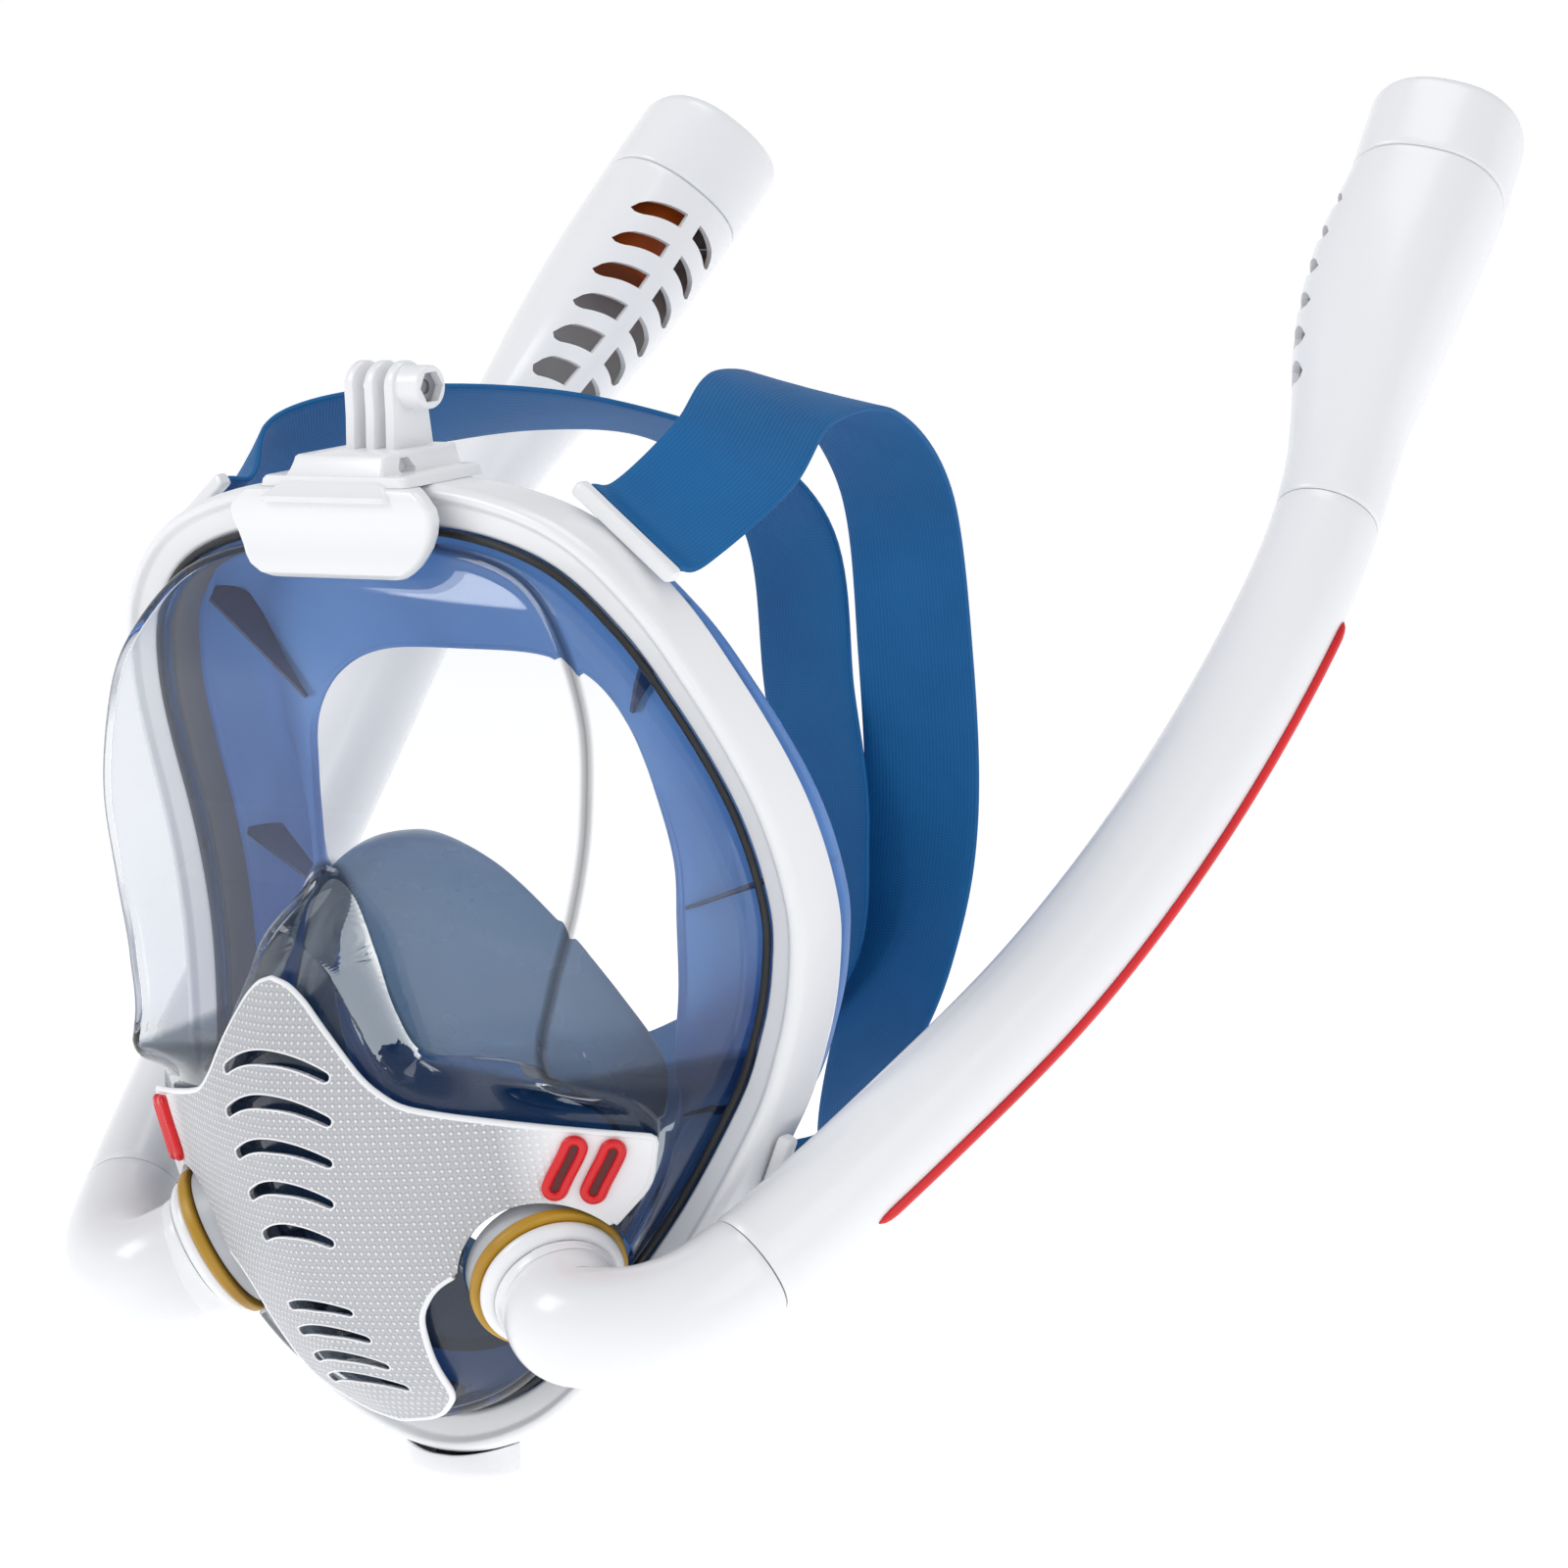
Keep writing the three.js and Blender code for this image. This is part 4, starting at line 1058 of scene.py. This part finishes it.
def make_housing(name):
    body, side = f"{name}_tube", SIDES[name]
    stations = np.concatenate([[-NECK + 0.3, -NECK + 0.6, -NECK + 1.2], np.linspace(-NECK + 2, -1, 14),
                               np.linspace(0, HOUSING_LENGTH - 1.2, 48),
                               [HOUSING_LENGTH - 0.5, HOUSING_LENGTH - 0.1]])
    drawn_in = [0.5, 0.2, 0.05] + [0] * 62 + [0.12, 0.45]
    outside = [housing_ring(s, d) for s, d in zip(stations, drawn_in)]
    inside = [housing_ring(s, TUBE_WALL) for s in stations[::-1]]
    obj = raw_object(f"slotted_housing_{name}", on_side(loft(outside + inside, through=True), side))
    tools = []
    for i, tall in enumerate([6, 6, 6.4, 6.8, 7.6, 8.2]):
        s = TOP_SLOT - i * SLOT_PITCH
        cross = float(swell_cross(s))
        tools += [slot_tool(s, 8 - cross, -HALF_WEB, tall), slot_tool(s, HALF_WEB, cross - 4.8, tall)]
    cut(obj, [on_side(t, side) for t in tools])
    finish_piece(obj, WHITE, body, [f"float_housing_{name}"], sharp=40)
    bottom, top = HOUSING_LENGTH + 0.3, HOUSING_LENGTH + CAP_LENGTH
    cap = [cap_ring(bottom, 0.45), cap_ring(bottom + 0.3, 0.12), cap_ring(bottom + 1, 0)]
    cap += [cap_ring(s, 0) for s in np.linspace(bottom + 3, top - 6, 5)]
    bend, edge = np.radians(range(10, 91, 10)), 5
    cap += [cap_ring(top - edge * (1 - math.sin(a)), edge * (1 - math.cos(a))) for a in bend]
    cap += [cap_ring(top + 0.2, 8), cap_ring(top + 0.25, 13), cap_ring(top + 0.3, 19.4)]
    inner = [cap_ring(top - 2.4, 19.4), cap_ring(top - 2.6, 6), cap_ring(top - 5, TUBE_WALL),
             cap_ring(bottom, TUBE_WALL)]
    side_piece("end_cap", name, loft(inner + cap, caps=True), WHITE, body, "top_cap", 50)
    profile = disc_profile(FLOAT_RADIUS, FLOAT_BASE, FLOAT_BASE + FLOAT_LENGTH, 2.4, 8)
    plug = turned(profile, HOUSING_AXIS, TUBE_TOP, 72, closed=False)
    side_piece("float_plug", name, plug, ORANGE, f"{name}_float", "float")
    plane = FLOAT_BASE + FLOAT_LENGTH + FLOAT_RISE + 0.6
    gasket = turned(box_outline(7, 15.5, plane, plane + 2.4, 0.7), HOUSING_AXIS, TUBE_TOP, 72)
    side_piece("float_gasket", name, gasket, BLACK, body, "float_seal")


# ---- valves ----
def make_valves():
    chin = np.array([0, -35, -136.8])
    up = np.array([0, 0, 1.0])
    guard_wide, guard_deep = 1.55, 0.76
    seat = box_outline(4.2, 7.8, -3.4, -0.7, 0.5, 3)
    piece("chin_seat", turned(seat, up, chin, 64), BLACK, "mask", ["chin_valve_seat"])
    flap = disc_profile(6.6, -5.2, -4.1, 0.4)
    piece("chin_flap_disc", turned(flap, up, chin, 64, closed=False), BLACK, "chin_flap",
          ["chin_valve_flap"])
    cover = rounded([(0, -8.4), (9.4, -8.4), (12.6, -6), (12.8, -0.3), (11.4, -0.3), (11.2, -5.4),
                     (8.4, -7), (0, -7)], [0, 1.4, 1.6, 0.4, 0.4, 1, 1, 0], 4, closed=False)
    shape = turned(cover, up, chin * [0, 0, 1], 72, closed=False)
    points = shape[0] * [guard_wide, guard_deep, 1] + chin * [1, 1, 0]
    rise = 10 * (points[:, 0] / 36) ** 2 - 0.1  # the frame's lower edge curves up to the sides
    near_top = smoothstep((points[:, 2] - chin[2] + 3) / 2.5)
    points[:, 2] += np.maximum(rise, 0) * near_top
    piece("chin_guard", (points, shape[1]), WHITE, "mask", ["chin_valve_cover"])
    place, axis = np.array([50, -42, -22]), unit([0.55, -0.35, 0.76])
    seat = turned(box_outline(5, 9, -0.5, 1.5, 0.4, 3), axis, place, 64)
    flap = turned(disc_profile(7.5, -1.8, -0.8, 0.4), axis, place, 64, closed=False)
    for name in SIDES:
        side_piece("inhale_seat", name, seat, GREY, "mask", "inhale_valve_seat")
        side_piece("inhale_disc", name, flap, BLACK, f"{name}_inhale_flap",
                   "inhale_valve_flap")


# ---- camera mount ----
def slab(half_x, low_y, high_y, z, corner):
    """A level rounded rectangle."""
    outline = box_outline(-half_x, half_x, low_y, high_y, corner, 6)
    return np.column_stack([outline, np.full(len(outline), z)])


def make_camera_mount():
    plate = [slab(half, front, front + 5.2, z, 2.2) for z, half, front in [
        (136.4, 29, -58.2), (135.8, 31.5, -59.6), (134, 34, -60.4), (131, 36.6, -60.6),
        (128, 36.8, -60.1), (124, 35.4, -59.4), (120.5, 33.8, -59.6), (118, 32.4, -60.4),
        (115.5, 30.4, -61), (113.2, 27, -60.9), (112, 23.8, -59.8), (111.6, 22.6, -58.4),
    ]]
    saddle = [slab(half, low, -23.6, z, 1.6) for z, half, low in [
        (132.8, 22.4, -62.2), (133.6, 23, -62.8), (134.4, 22.8, -62.6), (135.4, 21.4, -61),
        (137, 19.6, -59), (139, 18.1, -57.2), (141, 17.2, -55.8), (143, 16.7, -54.7),
        (144.2, 16.5, -54.2), (144.7, 15.9, -53.6),
    ]]
    arms = [slab(half, -58, -24.5, z, 3) for z, half in [(136.5, 27), (138.4, 26.4), (139.4, 25)]]
    obj = raw_object("mount_bracket", loft(saddle, caps=True))
    across = np.array([1.0, 0, 0])
    cut(obj, [rod(3.4, 13.5, 30, across, (0, -46, 140.4), 6)])
    finish_piece(obj, WHITE, "mask", ["camera_bracket"])
    clip = joined(loft(plate, caps=True), loft(arms, caps=True))
    piece("mount_clip", clip, WHITE, "mask")
    bolt = np.array([0, -33, 161.0])
    rise, top_radius = 17.5, 7.2
    outline = [
        (top_radius * math.cos(a), rise + top_radius * math.sin(a)) for a in np.linspace(0, math.pi, 25)
    ]
    outline += [(-7.4, rise * 0.6), (-8.4, -0.5), (8.4, -0.5), (7.4, rise * 0.6)]
    p = np.array(outline)
    prongs = []
    for x in (-9, -1.7, 5.6):
        rings = []
        for inset, dx in ((0.7, 0), (0.2, 0.25), (0, 0.8), (0, 2.6), (0.2, 3.15), (0.7, 3.4)):
            q = (p - [0, 10]) * (1 - inset / 8) + [0, 10]
            rings.append(np.column_stack([np.full(len(q), x + dx), q + [bolt[1], bolt[2] - rise]]))
        prongs.append(loft(rings, caps=True))
    fingers = raw_object("camera_prongs", joined(*prongs))
    hole = rod(2.6, -14, 24, across, bolt, 32)
    cut(fingers, [hole])
    finish_piece(fingers, WHITE, "mask", ["camera_finger_mount"])
    boss = rounded([(0, 8.6), (6.4, 8.6), (6, 9.6), (6, 17), (0, 17)], [0, 0.3, 0.6, 1.1, 0], 5,
                   closed=False)
    boss_obj = raw_object("finger_boss", turned(boss, across, bolt, 48, closed=False))
    cut(boss_obj, [rod(4.6, 12.6, 24, across, bolt, 6), hole])
    finish_piece(boss_obj, WHITE, "mask")
    nut = raw_object("hex_nut", rod(4.3, 13.1, 14.4, across, bolt, 6))
    cut(nut, [rod(2.1, 10, 20, across, bolt, 24)])
    finish_piece(nut, STEEL, "mask", ["finger_nut"])


# ---- straps ----
UPPER_LUG, LOWER_LUG = 0.088, 0.369
LUG_DEPTH = (14, 19.3)


def lug_start(share, side, behind):
    p = rim(share, 3.4, LUG_DEPTH[1] + behind)[0]
    across = (rim(share + 0.01, 0, 0) - rim(share - 0.01, 0, 0))[0]
    return (side * p[0], p[1], p[2]), (side * across[0] / 10, 0, across[2] / 10)


def strap_route(side, middle):
    """Centre points of a band, each with the direction of the band's width."""
    route = [lug_start(UPPER_LUG, side, 0.6), lug_start(UPPER_LUG, side, 12)]
    route += [((side * p[0], p[1], p[2]), (side * w[0], w[1], w[2])) for p, w in middle]
    for behind in (12, 0.6):
        p, w = lug_start(LOWER_LUG, side, behind)
        route.append((p, tuple(-v for v in w)))
    return route


STRAPS = {
    "left": strap_route(1, [
        ((89, 6, 138), (0.75, 0.2, -0.6)), ((80, 36, 150), (0.8, 0.35, -0.4)),
        ((66, 82, 143), (0.85, 0.3, -0.2)), ((50, 126, 112), (0.95, 0.1, 0)),
        ((36, 148, 60), (0.97, 0.2, 0)), ((26, 158, 8), (0.97, 0.2, 0.1)),
        ((24, 146, -32), (0.95, 0.2, 0.2)), ((42, 104, -58), (0.75, 0.3, 0.55)),
        ((72, 60, -62), (0.5, 0.1, 0.85)), ((94, 28, -60), (0.45, 0, 0.9)),
    ]),
    "right": strap_route(-1, [
        ((84, 4, 136), (0.7, 0.35, -0.62)), ((66, 32, 142), (0.72, 0.3, -0.6)),
        ((45, 92, 138), (0.85, 0.35, -0.3)), ((22, 124, 126), (0.95, 0.2, 0)),
        ((4, 142, 98), (0.97, 0.1, 0)), ((4, 147, 50), (0.97, 0.1, 0)),
        ((2, 147, 8), (0.97, 0.1, 0.1)), ((6, 138, -34), (0.95, 0.2, 0.2)),
        ((34, 100, -62), (0.75, 0.3, 0.55)), ((68, 58, -64), (0.5, 0.1, 0.85)),
        ((94, 28, -60), (0.45, 0, 0.9)),
    ]),
}


def make_strap(name, route):
    count = 14 * (len(route) - 1)
    t = np.linspace(0, 1, count + 1)
    centre, width = spline([p for p, _ in route])(t), spline([w for _, w in route])(t)
    along = unit_rows(np.gradient(centre, axis=0))
    across = unit_rows(width - np.sum(width * along, 1, keepdims=True) * along)
    through = np.cross(along, across)
    half, thin = STRAP_WIDTH / 2, STRAP_THICKNESS / 2
    section = [(x, thin) for x in np.linspace(-half + 0.8, half - 0.8, 13)]
    section += [(half - 0.25, thin * 0.75), (half, 0), (half - 0.25, -thin * 0.75)]
    section += [(-x, -h) for x, h in section]
    rings = [centre[i] + np.array([x * across[i] + h * through[i] for x, h in section])
             for i in range(count + 1)]
    shape = loft(rings, caps=True)
    run = run_along(centre)
    obj = piece(f"head_band_{name}", shape, BAND, "mask", [f"head_strap_{name}"], 50)
    place = np.array([(x, run[i], h) for i in range(count + 1) for x, h in section]) * MM
    layer = obj.data.attributes.new("band", "FLOAT_VECTOR", "POINT")
    layer.data.foreach_set("vector", place.astype(np.float32).ravel())


def make_anchors():
    for where, share in (("upper", UPPER_LUG), ("lower", LOWER_LUG)):
        inner, outer = rim(share, 0.5, 0)[0], rim(share, 5.5, 0)[0]
        outward = unit(outer - inner)
        back = np.array([0, 1.0, 0])
        along = np.cross(outward, back)
        middle = rim(share, 2.7, sum(LUG_DEPTH) / 2)[0]
        half = STRAP_WIDTH / 2 + 1.2
        outline = rounded([(-2, -2.6), (2, -1.6), (2, 2.6), (-2, 2.6)], 1.1, 5)
        rings = []
        for place, scale in ((-half, 0.7), (-half + 0.6, 0.94), (-half + 1.6, 1), (half - 1.6, 1),
                             (half - 0.6, 0.94), (half, 0.7)):
            rings.append(np.array([middle + along * place + outward * p[0] * scale + back * p[1] * scale
                                   for p in outline]))
        shape = loft(rings, caps=True)
        for name in SIDES:
            side_piece(f"{where}_lug", name, shape, WHITE, "mask", f"{where}_strap_anchor")


# ---- stage, lights, camera ----
def make_stage():
    look = Look("studio_floor", (250, 250, 250), 0.9)
    look.set(look.shader, "Emission Color", (1, 1, 1, 1))
    look.set(look.shader, "Emission Strength", 0.48)
    look.set(look.shader, "Specular IOR Level", 0.1)
    floor_radius, floor_height = 60000, -420.0
    disc = turned([(0, 0), (floor_radius, 0)], np.array([0, 0, 1.0]), np.array([0, 0, floor_height]),
                  closed=False)
    floor = raw_object("floor", disc)
    floor.data.materials.append(look.material)
    world = bpy.data.worlds.new("studio")
    bpy.context.scene.world = world
    world.use_nodes = True
    nodes, links = world.node_tree.nodes, world.node_tree.links
    background = nodes["Background"]
    background.inputs["Strength"].default_value = 1.0
    place = nodes.new("ShaderNodeTexCoord")
    split = nodes.new("ShaderNodeSeparateXYZ")
    ramp = nodes.new("ShaderNodeValToRGB")
    links.new(place.outputs["Generated"], split.inputs[0])
    links.new(split.outputs["Z"], ramp.inputs["Fac"])
    links.new(ramp.outputs["Color"], background.inputs["Color"])
    bands = ramp.color_ramp.elements
    bands[0].color, bands[1].color = (1, 1, 1, 1), (0.4, 0.41, 0.44, 1)
    for place_up, grey in ((0.12, 1.0), (0.4, 0.62)):
        band = bands.new(place_up)
        band.color = (grey, grey, grey * 1.01, 1)


def lamp(name, place, target, size, power):
    data = bpy.data.lights.new(name, "AREA")
    data.shape, data.size, data.size_y = "RECTANGLE", size[0], size[1]
    data.energy = power
    obj = bpy.data.objects.new(name, data)
    bpy.context.scene.collection.objects.link(obj)
    obj.location = place
    obj.rotation_euler = (Vector(target) - Vector(place)).to_track_quat("-Z", "Y").to_euler()


def make_lights():
    lamp("key", (-0.9, -1.3, 1.5), (0, 0, 0), (0.9, 0.9), 12)
    lamp("fill", (1.6, -0.5, 0.6), (0, 0, 0), (0.8, 1.2), 3)
    lamp("top", (0.1, 0.4, 1.9), (0, 0.05, 0), (1.2, 0.8), 6)


def make_camera():
    """Where the picture is taken from: about 39 degrees to the wearer's left and 9 above."""
    data = bpy.data.cameras.new("camera")
    data.lens, data.sensor_width = 157.5, 36
    data.clip_start, data.clip_end = 0.05, 200
    camera = bpy.data.objects.new("camera", data)
    bpy.context.scene.collection.objects.link(camera)
    forward = Vector((-0.6237, 0.7661, -0.1553)).normalized()
    right = Vector((0.7804, 0.6214, -0.0690))
    right = (right - right.dot(forward) * forward).normalized()
    up = right.cross(forward)
    turn = Matrix((right, up, -forward)).transposed().to_4x4()
    camera.matrix_world = Matrix.Translation(Vector((1259.5, -1419.8, 337.6)) * MM) @ turn
    bpy.context.scene.camera = camera


make_camera()
make_stage()
make_lights()
make_frame()
make_retainer()
make_gap_shadow()
make_lens()
make_skirt()
make_cup()
make_cover()
make_vents()
for side_name in SIDES:
    make_port_side(side_name)
    make_housing(side_name)
    make_strap(side_name, STRAPS[side_name])
make_valves()
make_camera_mount()
make_anchors()
bpy.context.scene.view_settings.view_transform = "Standard"
